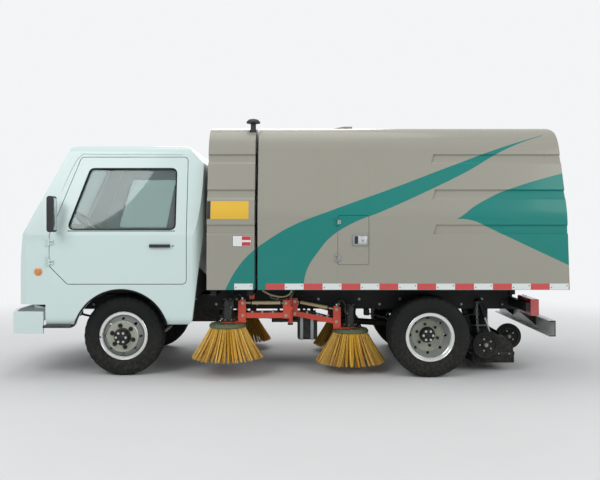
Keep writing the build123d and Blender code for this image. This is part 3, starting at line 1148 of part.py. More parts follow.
screen_prism = end_plate(SCREEN_LINE, 1950, 2600, 60)
rear_prism = end_plate(REAR_WINDOW, CAB_BACK_X - 30, CAB_BACK_X + 130, 60)
cab -= screen_prism
cab -= rear_prism
glass_layer = cab_form(22) - cab_form(22 + GLASS_T)
screen_glass = glass_layer & end_plate([(y * 0.9995, z) for y, z in SCREEN_LINE], 1950, 2600, 60)
rear_glass = glass_layer & end_plate([(y * 0.9995, z) for y, z in REAR_WINDOW], CAB_BACK_X - 30,
                                     CAB_BACK_X + 130, 60)
save("cab_glass", [screen_glass, rear_glass])


def shrunk(points, gap):
    """An outline moved inwards by a gap."""
    return offset(outline(points, 40), amount=-gap)


def through_wall(face):
    """A face in the XZ plane run through the cab's left wall."""
    return Pos(0, PAST_CAB_Y, 0) * extrude(Plane.XZ * face, amount=400)


def door_prism(gap):
    """The door's outline through the left wall."""
    return through_wall(shrunk(DOOR_LINE, gap))


door_left = (cab_outer - cab_form(CAB_WALL - 5)) & door_prism(DOOR_GAP)
window_cut = through_wall(outline(SIDE_WINDOW, 50))
window_fit = through_wall(offset(outline(SIDE_WINDOW, 50), amount=-SEAT))
door_left -= window_cut
hx, hz = HANDLE
door_left += block(hx, hx + 190, CAB_HALF_W - 2, CAB_HALF_W + 24, hz, hz + 28)
door_left -= block(hx + 22, hx + 168, CAB_HALF_W, CAB_HALF_W + 14, hz - 5, hz + 40)
MIRROR_X = 2085.0
mirror_arm = block(MIRROR_X - 12, MIRROR_X + 12, CAB_HALF_W - 40, CAB_HALF_W + 70, 1330, 1352)
mirror_arm += side_plate([(MIRROR_X - 30, 1320), (MIRROR_X + 30, 1320), (MIRROR_X + 30, 1640),
                          (MIRROR_X - 30, 1640)], CAB_HALF_W + 60, CAB_HALF_W + 160, 24)
door_left += mirror_arm
door_glass = glass_layer & window_fit
cab -= door_prism(0)
cab -= other_side(door_prism(0))
CAB_HINGE_X = 2147.0
CAB_HINGE_Y = CAB_HALF_W + 10.0
CAB_HINGE_ZS = (1050.0, 1230.0)
CAB_HINGE_PIN_R = 5.0
for z in CAB_HINGE_ZS:
    door_left += bar_z(CAB_HINGE_X, CAB_HINGE_Y, z - 20, z + 20, 9)
    door_left += block(CAB_HINGE_X - 40, CAB_HINGE_X, CAB_HALF_W - 2, CAB_HALF_W + 14, z - 20, z + 20)
    door_left -= bar_z(CAB_HINGE_X, CAB_HINGE_Y, z - 40, z + 40, CAB_HINGE_PIN_R + FIT)
    for z0 in (z - 32, z + 20 + FIT):
        knuckle_part = bar_z(CAB_HINGE_X, CAB_HINGE_Y, z0, z0 + 12 - FIT, 9)
        knuckle_part += block(CAB_HINGE_X, CAB_HINGE_X + 40, CAB_HALF_W - 2, CAB_HALF_W + 14, z0,
                              z0 + 12 - FIT)
        cab += knuckle_part
        cab += other_side(knuckle_part)
    hinge_pin = bar_z(CAB_HINGE_X, CAB_HINGE_Y, z - 30, z + 30, CAB_HINGE_PIN_R)
    cab += hinge_pin
    cab += other_side(hinge_pin)
save("cab_door_left", [door_left, door_glass])
save("cab_door_right", [other_side(door_left), other_side(door_glass)])

# Tilt lugs below the cab floor
for end in (-1, 1):
    y0, y1 = sorted((end * 315, end * 351))
    cab += block(CAB_TILT_X - 24, CAB_TILT_X + 18, y0, y1, CAB_TILT_Z, CAB_FLOOR_Z - SEAT)
    cab += bar_y(CAB_TILT_X, y0, y1, CAB_TILT_Z, 24)
    cab -= bar_y(CAB_TILT_X, y0 - 1, y1 + 1, CAB_TILT_Z, 12 + FIT)
save("cab_shell", [cab, floor_pan])

# Intake box in the recess, with louvres on its outer side
intake = block(BOX_X0, BOX_X1, -BOX_Y, -BOX_Y_IN, BOX_Z0, BOX_Z1)
intake = fillet(intake.edges().filter_by(Axis.Z), 14)
for i in range(24):
    z = BOX_Z1 - 60 - i * 24
    intake -= block(BOX_X0 + 20, BOX_X1 - 20, -BOX_Y - 1, -BOX_Y + 6, z - 14, z)
intake += block(BOX_X1 - 20, BOX_X1 + 4, -BOX_Y_IN - 100, -BOX_Y_IN - 40, 1500, 1560)
save("intake_box", intake)

# Seats, dashboard, steering column and wheel
interior = []
for y in (-400, 400):
    seat = side_plate([
        (1120, SEAT_Z + 0.3), (1620, SEAT_Z + 0.3), (1640, 1110), (1620, 1170), (1180, 1140),
        (1060, 1760), (950, 1770), (1000, 1120), (1120, 1000),
    ], y - 250, y + 250, 18)
    interior.append(seat)
dash = side_plate([
    (2130, floor_top + 0.3), (2330, floor_top + 0.3), (2330, 1270), (2100, 1300), (2030, 1240),
    (2060, 1160), (2130, 1100),
], -820, 820, 18)
column_plane = Plane(origin=(2110, 400, 1180), z_dir=(-0.72, 0, 0.69))
column = column_plane * Pos(0, 0, 110) * Cylinder(22, 300)
column += column_plane * Pos(0, 0, 262) * Torus(190, 14)
column += column_plane * Pos(0, 0, 256) * Box(370, 34, 14)
dash -= column_plane * Pos(0, 0, 110) * Cylinder(22 + SEAT, 400)
interior += [dash, column]
save("cab_interior", interior)
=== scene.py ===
import random
from math import cos, hypot, pi, radians, sin, sqrt

import bmesh
import bpy
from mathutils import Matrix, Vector


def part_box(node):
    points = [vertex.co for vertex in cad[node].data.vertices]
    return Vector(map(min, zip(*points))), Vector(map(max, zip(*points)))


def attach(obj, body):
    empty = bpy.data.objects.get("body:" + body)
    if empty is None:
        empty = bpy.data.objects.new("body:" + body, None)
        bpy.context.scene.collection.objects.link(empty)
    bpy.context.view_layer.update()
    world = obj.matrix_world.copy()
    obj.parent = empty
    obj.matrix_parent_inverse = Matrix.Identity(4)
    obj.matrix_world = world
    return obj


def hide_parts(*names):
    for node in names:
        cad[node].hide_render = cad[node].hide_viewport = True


# Finishes, trim and fine parts of a street sweeper truck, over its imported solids.
# Metres, +X forward, +Y left, +Z up.

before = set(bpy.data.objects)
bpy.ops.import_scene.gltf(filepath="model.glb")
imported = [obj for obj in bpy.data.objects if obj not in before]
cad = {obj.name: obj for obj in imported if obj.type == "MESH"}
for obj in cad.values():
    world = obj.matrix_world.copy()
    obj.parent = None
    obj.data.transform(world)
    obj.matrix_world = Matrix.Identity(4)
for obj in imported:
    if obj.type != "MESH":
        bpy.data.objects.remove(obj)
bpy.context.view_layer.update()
random.seed(7)


# Finishes

def colour(code):
    """A linear colour from a six-figure sRGB code."""
    values = [int(code[i:i + 2], 16) / 255 for i in (0, 2, 4)]
    linear = [v / 12.92 if v <= 0.04045 else ((v + 0.055) / 1.055) ** 2.4 for v in values]
    return (*linear, 1.0)


def dimmed(base, share):
    """A colour at a share of its brightness."""
    return tuple(c * share for c in base[:3]) + (1.0,)


class Nodes:
    """The nodes of a material or of the world."""

    def __init__(self, tree):
        self.tree = tree
        tree.nodes.clear()

    def node(self, kind, **settings):
        """A new node with its settings."""
        made = self.tree.nodes.new(kind)
        for key, value in settings.items():
            setattr(made, key, value)
        return made

    def feed(self, socket, value):
        """Links a socket to another, or gives it a plain value."""
        if isinstance(value, bpy.types.NodeSocket):
            self.tree.links.new(value, socket)
        else:
            socket.default_value = value

    def fill(self, sockets, values):
        """Feeds sockets in their order."""
        for socket, value in zip(sockets, values):
            self.feed(socket, value)

    def calc(self, how, *values):
        """A sum on one to three values."""
        step = self.node("ShaderNodeMath", operation=how)
        self.fill(step.inputs, values)
        return step.outputs[0]

    def plain_rays(self):
        """1 for what the camera sees, directly, in gloss or through glass."""
        rays = self.node("ShaderNodeLightPath").outputs
        seen = rays["Is Camera Ray"]
        for other in ("Is Glossy Ray", "Is Transmission Ray"):
            seen = self.calc("MAXIMUM", seen, rays[other])
        return seen


class Finish(Nodes):
    """One material's nodes, all placed by the rest position of the piece."""

    def __init__(self, name):
        self.material = bpy.data.materials.new(name)
        self.material.use_nodes = True
        super().__init__(self.material.node_tree)
        self.shader = self.node("ShaderNodeBsdfPrincipled")
        self.end = self.node("ShaderNodeOutputMaterial").inputs["Surface"]
        self.feed(self.end, self.shader.outputs["BSDF"])
        self.place = self.node("ShaderNodeTexCoord").outputs["Object"]
        split = self.node("ShaderNodeSeparateXYZ")
        self.feed(split.inputs[0], self.place)
        self.x, self.y, self.z = split.outputs

    def set(self, socket, value):
        """Gives one of the shader's sockets a link or a plain value."""
        self.feed(self.shader.inputs[socket], value)

    def noise(self, scale, detail=3.0, stretch=None):
        """Soft noise from 0 to 1."""
        texture = self.node("ShaderNodeTexNoise")
        texture.inputs["Scale"].default_value = scale
        texture.inputs["Detail"].default_value = detail
        self.feed(texture.inputs["Vector"], self.stretched(stretch) if stretch else self.place)
        return texture.outputs["Fac"]

    def stretched(self, scale):
        """The place, scaled along each axis."""
        mapping = self.node("ShaderNodeMapping")
        mapping.inputs["Scale"].default_value = scale
        self.feed(mapping.inputs["Vector"], self.place)
        return mapping.outputs[0]

    def ease(self, value, low, high, start=0.0, end=1.0):
        """A smooth step from start to end as value goes from low to high."""
        step = self.node("ShaderNodeMapRange", interpolation_type="SMOOTHSTEP")
        self.fill(step.inputs, (value, low, high, start, end))
        return step.outputs[0]

    def mix(self, share, a, b):
        """A colour between a and b."""
        step = self.node("ShaderNodeMix", data_type="RGBA")
        self.fill((step.inputs[0], step.inputs[6], step.inputs[7]), (share, a, b))
        return step.outputs[2]

    def edges(self, radius):
        """1 on sharp edges, 0 away from them."""
        bevel = self.node("ShaderNodeBevel", samples=3)
        bevel.inputs["Radius"].default_value = radius
        dot = self.node("ShaderNodeVectorMath", operation="DOT_PRODUCT")
        self.fill(dot.inputs, (bevel.outputs[0], self.node("ShaderNodeNewGeometry").outputs["Normal"]))
        return self.ease(dot.outputs["Value"], 0.99, 0.86)

    def bump(self, height, strength, distance):
        """Relief from a height."""
        step = self.node("ShaderNodeBump")
        step.inputs["Strength"].default_value = strength
        step.inputs["Distance"].default_value = distance
        self.feed(step.inputs["Height"], height)
        self.set("Normal", step.outputs[0])

    def curve(self, x, points):
        """The height over x of a smooth line through a table of (x, z)."""
        table = sorted(points)
        x0, x1 = table[0][0], table[-1][0]
        z0, z1 = min(z for _, z in table), max(z for _, z in table)
        share = self.node("ShaderNodeMapRange")
        self.fill(share.inputs, (x, x0, x1))
        line = self.node("ShaderNodeFloatCurve")
        spots = [((px - x0) / (x1 - x0), (pz - z0) / (z1 - z0)) for px, pz in table]
        ends = line.mapping.curves[0].points
        ends[0].location, ends[1].location = spots[0], spots[-1]
        for spot in spots[1:-1]:
            ends.new(*spot)
        line.mapping.update()
        self.feed(line.inputs["Value"], share.outputs[0])
        return self.calc("MULTIPLY_ADD", line.outputs[0], z1 - z0, z0)

    def between(self, upper, lower):
        """1 where the height lies between two lines."""
        below = self.calc("LESS_THAN", self.z, upper)
        above = self.calc("GREATER_THAN", self.z, lower)
        return self.calc("MULTIPLY", below, above)


DUST = colour("8d8674")


def coat(name, code, rough, metallic=0.0, gloss=0.0, spread=0.1, grain=900.0, relief=0.0002,
         dust=0.35, dust_top=0.9, worn=None, worn_width=0.004, pattern=None, shine=0.5, cloud=0.16):
    """A painted, moulded or bare surface: uneven colour and gloss, dust low down, worn edges."""
    f = Finish(name)
    base = colour(code)
    tone = pattern(f) if pattern else base
    patch = f.noise(2.3, 4.0)
    shade = f.mix(f.calc("MULTIPLY", patch, spread * 2), tone, dimmed(base, 0.55))
    fine = f.noise(38.0, 5.0)
    low = f.ease(f.z, dust_top, 0.05)
    share = f.calc("MULTIPLY", f.calc("MULTIPLY", low, f.ease(fine, 0.3, 0.75)), dust)
    shade = f.mix(share, shade, DUST)
    if worn:
        chips = f.calc("MULTIPLY", f.edges(worn_width), f.ease(f.noise(55.0, 6.0), 0.45, 0.62))
        shade = f.mix(chips, shade, colour(worn))
    f.set("Base Color", shade)
    uneven = f.calc("MULTIPLY_ADD", f.noise(14.0, 4.0), cloud, rough - cloud / 2)
    f.set("Roughness", f.calc("MULTIPLY_ADD", share, 0.4, uneven))
    f.set("Metallic", metallic)
    f.set("Specular IOR Level", shine)
    f.set("Coat Weight", gloss)
    f.set("Coat Roughness", 0.1)
    f.bump(f.noise(grain, 2.0), 0.35, relief)
    return f.material


GREY, TEAL = "97958a", "007a72"

# Stripe edges on the body sides, as x, z; the tail arrow differs from side to side
STRIPE_TOP = [
    (-2.355, 2.212), (-1.948, 2.086), (-1.493, 1.919), (-0.981, 1.724), (-0.398, 1.513), (-0.049, 1.376),
    (0.231, 1.205), (0.302, 1.15), (0.409, 1.04), (0.548, 0.803),
]
STRIPE_FOOT = [
    (-2.355, 2.206), (-2.029, 2.088), (-1.61, 1.855), (-1.214, 1.664), (-0.841, 1.499), (-0.585, 1.397),
    (-0.398, 1.278), (-0.282, 1.144), (-0.188, 0.997), (-0.153, 0.86), (-0.148, 0.803),
]
# Tail arrows: how y compares with 0, upper edge, lower edge
ARROWS = [
    ("GREATER_THAN",
     [(-2.53, 1.86), (-1.961, 1.69), (-1.816, 1.625), (-1.672, 1.545), (-1.59, 1.48), (-1.522, 1.434)],
     [(-2.53, 1.02), (-1.914, 1.309), (-1.788, 1.37), (-1.672, 1.42), (-1.578, 1.437), (-1.522, 1.434)]),
    ("LESS_THAN",
     [(-2.53, 1.908), (-2.467, 1.875), (-1.86, 1.555), (-1.726, 1.483)],
     [(-2.53, 1.053), (-2.015, 1.379), (-1.93, 1.43), (-1.866, 1.459), (-1.726, 1.483)]),
]


def body_pattern(f):
    """Champagne grey with the teal stripe and the tail arrow."""
    stripe = f.between(f.curve(f.x, STRIPE_TOP), f.curve(f.x, STRIPE_FOOT))
    stripe = f.calc("MULTIPLY", stripe, f.calc("GREATER_THAN", f.x, STRIPE_TOP[0][0]))
    shares = []
    for way, top, foot in ARROWS:
        share = f.between(f.curve(f.x, top), f.curve(f.x, foot))
        share = f.calc("MULTIPLY", share, f.calc("LESS_THAN", f.x, top[-1][0]))
        shares.append(f.calc("MULTIPLY", share, f.calc(way, f.y, 0.0)))
    both = f.calc("MAXIMUM", stripe, f.calc("MAXIMUM", *shares))
    return f.mix(both, colour(GREY), colour(TEAL))


def cloth_like(name, code, rough):
    """Grained plastic and woven seat cloth: a fine weave in the relief."""
    f = Finish(name)
    weave = f.node("ShaderNodeTexVoronoi")
    weave.inputs["Scale"].default_value = 420.0
    f.feed(weave.inputs["Vector"], f.place)
    f.set("Base Color", f.mix(f.noise(9.0, 4.0), colour(code), dimmed(colour(code), 1.5)))
    f.set("Roughness", f.calc("MULTIPLY_ADD", weave.outputs["Distance"], 0.2, rough))
    f.bump(weave.outputs["Distance"], 0.5, 0.0006)
    return f.material


def window_glass(name, tint, clear):
    """Tinted glass, a little dusty."""
    f = Finish(name)
    film = f.noise(7.0, 5.0)
    f.set("Base Color", f.mix(f.calc("MULTIPLY", film, 0.12), tint, DUST))
    f.set("Roughness", f.ease(film, 0.3, 0.9, 0.0, 0.12))
    f.set("Transmission Weight", clear)
    f.set("IOR", 1.45)
    f.bump(f.noise(3.0, 1.0), 0.05, 0.001)
    return f.material


def ribbed_lens(name, code, pitch, glow=0.0):
    """A lamp lens with moulded ribs."""
    f = Finish(name)
    base = colour(code)
    ribs = f.calc("PINGPONG", f.y, pitch)
    cross = f.calc("PINGPONG", f.z, pitch)
    f.set("Base Color", f.mix(f.calc("MULTIPLY", f.noise(25.0, 3.0), 0.3), base, dimmed(base, 0.4)))
    f.set("Roughness", f.calc("MULTIPLY_ADD", f.noise(40.0, 2.0), 0.1, 0.08))
    f.set("Coat Weight", 0.8)
    f.set("Emission Color", base)
    f.set("Emission Strength", glow)
    f.bump(f.calc("ADD", ribs, cross), 0.8, 0.6)
    return f.material


def reflective(name, code):
    """Reflective tape: a fine honeycomb under a clear film."""
    f = Finish(name)
    base = colour(code)
    cells = f.node("ShaderNodeTexVoronoi", feature="DISTANCE_TO_EDGE")
    cells.inputs["Scale"].default_value = 190.0
    cells.inputs["Randomness"].default_value = 0.0
    f.feed(cells.inputs["Vector"], f.place)
    line = f.ease(cells.outputs["Distance"], 0.02, 0.1)
    dusty = f.mix(f.calc("MULTIPLY", f.noise(30.0), 0.2), base, DUST)
    f.set("Base Color", f.mix(line, dimmed(base, 0.72), dusty))
    f.set("Roughness", f.calc("MULTIPLY_ADD", line, 0.15, 0.22))
    f.set("Coat Weight", 0.5)
    f.bump(line, 0.2, 0.0004)
    return f.material


def brushed(name, code, rough):
    """Bright turned or rolled metal with fine lines and stains."""
    f = Finish(name)
    base = colour(code)
    lines = f.noise(60.0, 3.0, (1.0, 12.0, 1.0))
    f.set("Base Color", f.mix(f.ease(f.noise(11.0, 6.0), 0.5, 0.8, 0.0, 0.5), base, dimmed(base, 0.5)))
    f.set("Roughness", f.calc("MULTIPLY_ADD", lines, 0.22, rough))
    f.set("Metallic", 0.85)
    f.bump(lines, 0.25, 0.0003)
    return f.material


def bristle_finish(name, low, high):
    """Golden plastic bristles, dusty at the tips."""
    f = Finish(name)
    strand = f.noise(130.0, 2.0, (1.0, 1.0, 0.06))
    tone = f.mix(f.ease(strand, 0.3, 0.62), colour(low), colour(high))
    f.set("Base Color", f.mix(f.ease(f.z, 0.09, 0.01, 0.0, 0.35), tone, colour("c9b070")))
    f.set("Roughness", f.calc("MULTIPLY_ADD", strand, 0.2, 0.42))
    f.bump(strand, 0.2, 0.0002)
    return f.material


PAINT = {"grain": 600.0, "relief": 0.00005, "shine": 0.2, "cloud": 0.06}
BODY = coat("champagne_paint", GREY, 0.34, gloss=0.22, spread=0.05, dust=0.1, dust_top=1.15,
            pattern=body_pattern, **PAINT)
BODY_PLAIN = coat("champagne_plain", "8f8e83", 0.4, gloss=0.2, spread=0.08, dust=0.2, dust_top=1.2, **PAINT)
# Dark grey for faces inside and under the body, with dust: painted shade inside the shell and the module, and
# dark dirty steel with painted shade on the bin
SOFFIT_DIRT_AND_SHADE = coat("body_inside_dirt_and_shade", "3a3b3a", 0.6, spread=0.2, dust=0.3, dust_top=2.4)
TEAL_PAINT = coat("tail_teal_paint", "008c85", 0.32, gloss=0.22, spread=0.06, dust=0.1, dust_top=1.3,
                  worn="5d6b66", **PAINT)
TEAL_DARK = coat("tail_teal_shade", "066257", 0.38, gloss=0.5, spread=0.06, grain=600.0, relief=0.00005,
                 dust=0.1, dust_top=1.3)
CAB = coat("cab_mint_paint", "c8dad7", 0.3, gloss=0.32, spread=0.01, grain=600.0, relief=0.00002,
           dust=0.14, dust_top=0.7, shine=0.28, cloud=0.02)
CAB_IN = coat("cab_floor_lining", "3a3c3d", 0.75, spread=0.15, grain=260.0, relief=0.0008)
CHASSIS = coat("chassis_black_paint", "121417", 0.48, spread=0.2, dust=0.12, dust_top=0.8, worn="4a4640",
               shine=0.3)
RED = coat("arm_red_paint", "d5432a", 0.42, gloss=0.25, spread=0.12, dust=0.1, worn="6b5a50",
           worn_width=0.005)
BLACK = coat("black_moulded", "16181a", 0.55, spread=0.12, grain=700.0, relief=0.0004, dust=0.25,
             dust_top=1.2, worn="3a3c3e")
MOTOR = coat("motor_black", "101214", 0.4, spread=0.2, dust=0.12, worn="45484a")
SILVER = coat("rim_silver_paint", "dcdedc", 0.2, 0.75, 0.3, 0.05, dust=0.06, dust_top=0.75, worn="8d8a83")
DISC_PAINT = coat("wheel_disc_paint", "a4a99b", 0.5, 0.15, spread=0.12, dust=0.2, dust_top=0.75, shine=0.35)
DISC_CONE = coat("wheel_dish_paint", "8b908c", 0.45, 0.35, spread=0.15, dust=0.2, dust_top=0.75, shine=0.35)
HUB = coat("hub_black", "0e0f11", 0.42, 0.1, spread=0.2, dust=0.12, worn="3a3a3a", shine=0.35)
BUMPER = coat("bumper_silver_paint", "c4cccb", 0.38, 0.15, 0.2, 0.08, dust=0.25, dust_top=0.8, worn="8a8983")
BOARD = coat("board_grey_plastic", "7c8284", 0.45, dust=0.1)
CAST = coat("cast_iron", "26282a", 0.62, 0.4, spread=0.25, grain=320.0, relief=0.001, dust=0.3, dust_top=1.2)
SILENCER = coat("silencer_steel", "5d5b50", 0.52, 0.5, spread=0.25, dust=0.2, worn="7a5a3c")
GALVANISED = coat("galvanised", "9aa0a1", 0.4, 0.7, spread=0.18, dust=0.2)
STEEL = brushed("bright_steel", "c3c6c6", 0.18)
PLATED = brushed("plated_steel", "a9a48f", 0.26)
RUBBER = coat("solid_rubber", "161718", 0.72, spread=0.15, grain=500.0, relief=0.0006, dust=0.12,
              dust_top=0.45, shine=0.25)
TYRE = coat("tyre_rubber", "181a1a", 0.72, spread=0.06, grain=420.0, relief=0.0007, dust=0.09,
            dust_top=0.6, shine=0.2)
HOSE_CREAM = coat("hose_cream", "cbb98d", 0.5, spread=0.15, dust=0.2)
DISC_GREEN = coat("disc_grey_green", "5f6b4e", 0.6, spread=0.2, dust=0.2, dust_top=0.5, worn="83847a")
GLASS = window_glass("window_glass", (0.55, 0.68, 0.66, 1.0), 0.9)
MIRROR = coat("mirror_face", "dfe5e6", 0.1, 1.0, spread=0.03, relief=0.00002, dust=0.0)
INTERIOR = cloth_like("interior_dark", "2b2c2f", 0.6)
LAMP_RED = ribbed_lens("lens_red", "a81a16", 0.009)
LAMP_BRIGHT = ribbed_lens("lens_bright_red", "e03a2c", 0.009, 0.25)
LAMP_CLEAR = ribbed_lens("lens_clear", "c9c6bf", 0.007)
LAMP_AMBER = ribbed_lens("lens_amber", "e0821e", 0.007)
TAPE_RED = reflective("tape_red", "c9353a")
TAPE_WHITE = reflective("tape_white", "dfe6e6")
LABEL_WHITE = coat("label_white", "dcdedd", 0.4, spread=0.03, dust=0.1)
LABEL_RED = coat("label_red", "b8383a", 0.4, spread=0.05, dust=0.1)
LABEL_YELLOW = coat("label_yellow", "dcb02e", 0.4, spread=0.04, dust=0.1)
BRISTLE = bristle_finish("bristles", "c08a20", "dba835")
# Lighter and darker copies of the bristles: a painted highlight and a painted shade, laid on the tufts in
# brush_piece
BRISTLE_PAINTED_LIGHT = bristle_finish("bristles_pale_painted_light", "dcae40", "f0cb62")
BRISTLE_PAINTED_SHADE = bristle_finish("bristles_dark_painted_shade", "7d5a14", "a6781f")


# Pieces

UP = Vector((0, 0, 1))


def circle(at, u, v, r, sides):
    """Points of a circle in the plane of two directions."""
    return [at + u * (r * cos(2 * pi * i / sides)) + v * (r * sin(2 * pi * i / sides)) for i in range(sides)]


def around(count, start=0.0):
    """Angles spread evenly round a circle."""
    return [2 * pi * i / count + start for i in range(count)]


def smooth_path(points, steps):
    """A smooth line through points."""
    spots = [Vector(p) for p in points]
    padded = [spots[0] * 2 - spots[1]] + spots + [spots[-1] * 2 - spots[-2]]
    path = []
    for a, b, c, d in zip(padded, padded[1:], padded[2:], padded[3:]):
        for i in range(steps):
            t = i / steps
            path.append(0.5 * ((2 * b) + (c - a) * t + (2 * a - 5 * b + 4 * c - d) * t ** 2
                               + (3 * b - a - 3 * c + d) * t ** 3))
    return path + [spots[-1]]


class Piece:
    """Many small parts in one mesh, on one body."""

    def __init__(self, name, body, slot, *finishes):
        self.name, self.body, self.slot = name, body, slot
        self.finishes = finishes
        self.mesh = bmesh.new()

    def block(self, corner, opposite, finish=0, bevel=0.0):
        """A box between two corners, its edges eased by bevel."""
        ends = [sorted(pair) for pair in zip(corner, opposite)]
        made = bmesh.ops.create_cube(self.mesh, size=1.0)["verts"]
        for v in made:
            v.co = Vector([low + (c + 0.5) * (high - low) for c, (low, high) in zip(v.co, ends)])
        faces = [f for v in made for f in v.link_faces]
        if bevel > 0:
            edges = list(dict.fromkeys(e for v in made for e in v.link_edges))
            for face in faces:
                face.material_index = finish
            faces = bmesh.ops.bevel(self.mesh, geom=edges, offset=bevel, segments=2, affect="EDGES",
                                    profile=0.5)["faces"]
        for face in faces:
            face.material_index = finish

    def loft(self, rings, finish=0, closed=True, caps=True):
        """Faces between rings of points."""
        rows = [[self.mesh.verts.new(p) for p in ring] for ring in rings]
        count = len(rows[0])
        span = count if closed else count - 1
        for a, b in zip(rows, rows[1:]):
            for i in range(span):
                j = (i + 1) % count
                self.mesh.faces.new((a[i], a[j], b[j], b[i])).material_index = finish
        if caps:
            for row in (rows[0], rows[-1]):
                self.mesh.faces.new(row).material_index = finish

    def round_loft(self, rings, finish):
        """Faces between rings, the last joined to the first."""
        self.loft(rings + [rings[0]], finish, caps=False)
        bmesh.ops.remove_doubles(self.mesh, verts=self.mesh.verts, dist=0.000001)

    def turned(self, centre, axis, profile, finish=0, sides=32):
        """A profile of (radius, distance) turned about an axis through centre."""
        turn = Vector(axis).to_track_quat("Z", "Y")
        self.loft([[Vector(centre) + turn @ Vector((r * cos(a), r * sin(a), d)) for a in around(sides)]
                   for r, d in profile], finish)

    def bar(self, start, end, r, finish=0, sides=14, r_end=None):
        """A round or many-sided bar from start to end."""
        start, end = Vector(start), Vector(end)
        turn = (end - start).to_track_quat("Z", "Y")
        self.loft([[at + turn @ Vector((radius * cos(a), radius * sin(a), 0)) for a in around(sides)]
                   for at, radius in ((start, r), (end, r_end or r))], finish)

    def collar(self, centre, axis, r, out, width, finish=0, sides=28, slope=0.002):
        """A band round a pipe, r at its edges and out between them."""
        self.turned(centre, axis, [(r, 0.0), (out, slope), (out, width - slope), (r, width)], finish, sides)

    def ring(self, centre, axis, radius, thick, finish=0, sides=28, rounds=8, stretch=0.0, along=(1, 0, 0)):
        """A torus, or a chain link where stretch pulls it out along a direction."""
        turn = Vector(axis).to_track_quat("Z", "Y")
        along = Vector(along)
        rows = []
        for a in around(sides):
            radial = turn @ Vector((cos(a), sin(a), 0))
            base = Vector(centre) + radial * radius + along * (stretch if radial.dot(along) > 0 else -stretch)
            rows.append(circle(base, radial, turn @ UP, thick, rounds))
        self.round_loft(rows, finish)

    def loop(self, points, r, finish=0, sides=8):
        """A closed tube along points."""
        spots = [Vector(p) for p in points]
        third = len(spots) // 3
        flat = (spots[third] - spots[0]).cross(spots[2 * len(spots) // 3] - spots[0]).normalized()
        rows = []
        for a, b, c in zip(spots[-1:] + spots[:-1], spots, spots[1:] + spots[:1]):
            rows.append(circle(b, (c - a).normalized().cross(flat), flat, r, sides))
        self.round_loft(rows, finish)

    def tube(self, points, r, finish=0, sides=10, steps=6, ribs=0.0):
        """A smooth tube through points, with hose ribs if asked."""
        path = smooth_path(points, steps)
        side = UP
        rings = []
        for i, at in enumerate(path):
            ahead = path[min(i + 1, len(path) - 1)] - path[max(i - 1, 0)]
            ahead.normalize()
            side = side - ahead * side.dot(ahead)
            if side.length < 0.001:
                side = ahead.orthogonal()
            side.normalize()
            rings.append(circle(at, side, ahead.cross(side), r + (ribs if i % 2 else 0.0), sides))
        self.loft(rings, finish)

    def chain(self, points, size, finish=0):
        """A chain of links along points."""
        path = smooth_path(points, 12)
        pitch, count, walked = size * 2.6, 0, 0.0
        for a, b in zip(path, path[1:]):
            step = (b - a).length
            while walked <= step:
                ahead = (b - a).normalized()
                across = ahead.orthogonal().normalized()
                if count % 2:
                    across = ahead.cross(across)
                self.ring(a + ahead * walked, across, size, size * 0.28, finish, 12, 5, size * 0.5, ahead)
                walked += pitch
                count += 1
            walked -= step

    def bolt(self, at, axis, size, finish=0, stud=0.0):
        """A washer and a hexagon head, with the stud's end if given."""
        at, axis = Vector(at), Vector(axis).normalized()
        self.bar(at, at + axis * size * 0.16, size * 0.8, finish, 16)
        self.bar(at + axis * size * 0.16, at + axis * size * 0.75, size * 0.56, finish, 6)
        if stud > 0:
            self.bar(at + axis * size * 0.7, at + axis * (size * 0.75 + stud), size * 0.28, finish, 10)

    def prism(self, points, push, finish=0):
        """A flat outline of points pushed through to its other face."""
        self.loft([[Vector(p) for p in points], [Vector(p) + Vector(push) for p in points]], finish)

    def done(self, crease=35.0, replaces=()):
        """The finished object, smooth except at its creases."""
        bmesh.ops.recalc_face_normals(self.mesh, faces=self.mesh.faces)
        for face in self.mesh.faces:
            face.smooth = True
        for edge in self.mesh.edges:
            if len(edge.link_faces) == 2:
                edge.smooth = edge.calc_face_angle(0.0) < radians(crease)
        data = bpy.data.meshes.new(self.name)
        self.mesh.to_mesh(data)
        self.mesh.free()
        for material in self.finishes:
            data.materials.append(material)
        item = bpy.data.objects.new(self.name, data)
        bpy.context.scene.collection.objects.link(item)
        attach(item, self.body)
        if replaces:
            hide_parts(*replaces)


def dress(node, *finishes, pick=None):
    """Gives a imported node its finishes; pick chooses one for each face by its middle and normal."""
    data = cad[node].data
    data.materials.clear()
    for material in finishes:
        data.materials.append(material)
    for face in data.polygons:
        face.material_index = pick(face.center, face.normal) if pick else 0


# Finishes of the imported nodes

SIDES = ((1, "left"), (-1, "right"))
WHEEL_Z, FRONT_X, REAR_X = 0.365, 1.5, -1.3
DOOR_X = -2.455


def shell_pick(c, n):
    """Paint on the outer skin and the ends; dark grey on the inside faces, a painted shade inside the shell
    and under its roof lip.
    """
    if n.x < -0.7 and c.x < -2.45:
        return 2
    if abs(n.x) > 0.7 or abs(c.y) > 0.985:
        return 0
    return 0 if n.y * c.y + n.z * (c.z - 1.5) > 0 and n.z > -0.9 else 1


def module_pick(c, n):
    """Paint, with dark grey on faces turned down or inwards: painted shade under and inside the module."""
    return 1 if n.z < -0.9 or c.y * n.y < -0.5 * abs(c.y) else 0


def tail_door_pick(c, n):
    """Darker hinge plates, a plated lower link and a bright pivot block on the painted door."""
    out = c.x < DOOR_X - 0.0005
    if 0.474 < abs(c.y) < 0.602 and 1.47 < c.z < 1.597 and out:
        return 1
    if abs(c.y) < 0.0161 and c.x < -2.46 and 1.04 < c.z < 1.257:
        return 2
    if abs(c.y) < 0.04 and out and 1.23 < c.z < 1.35:
        return 3
    return 0


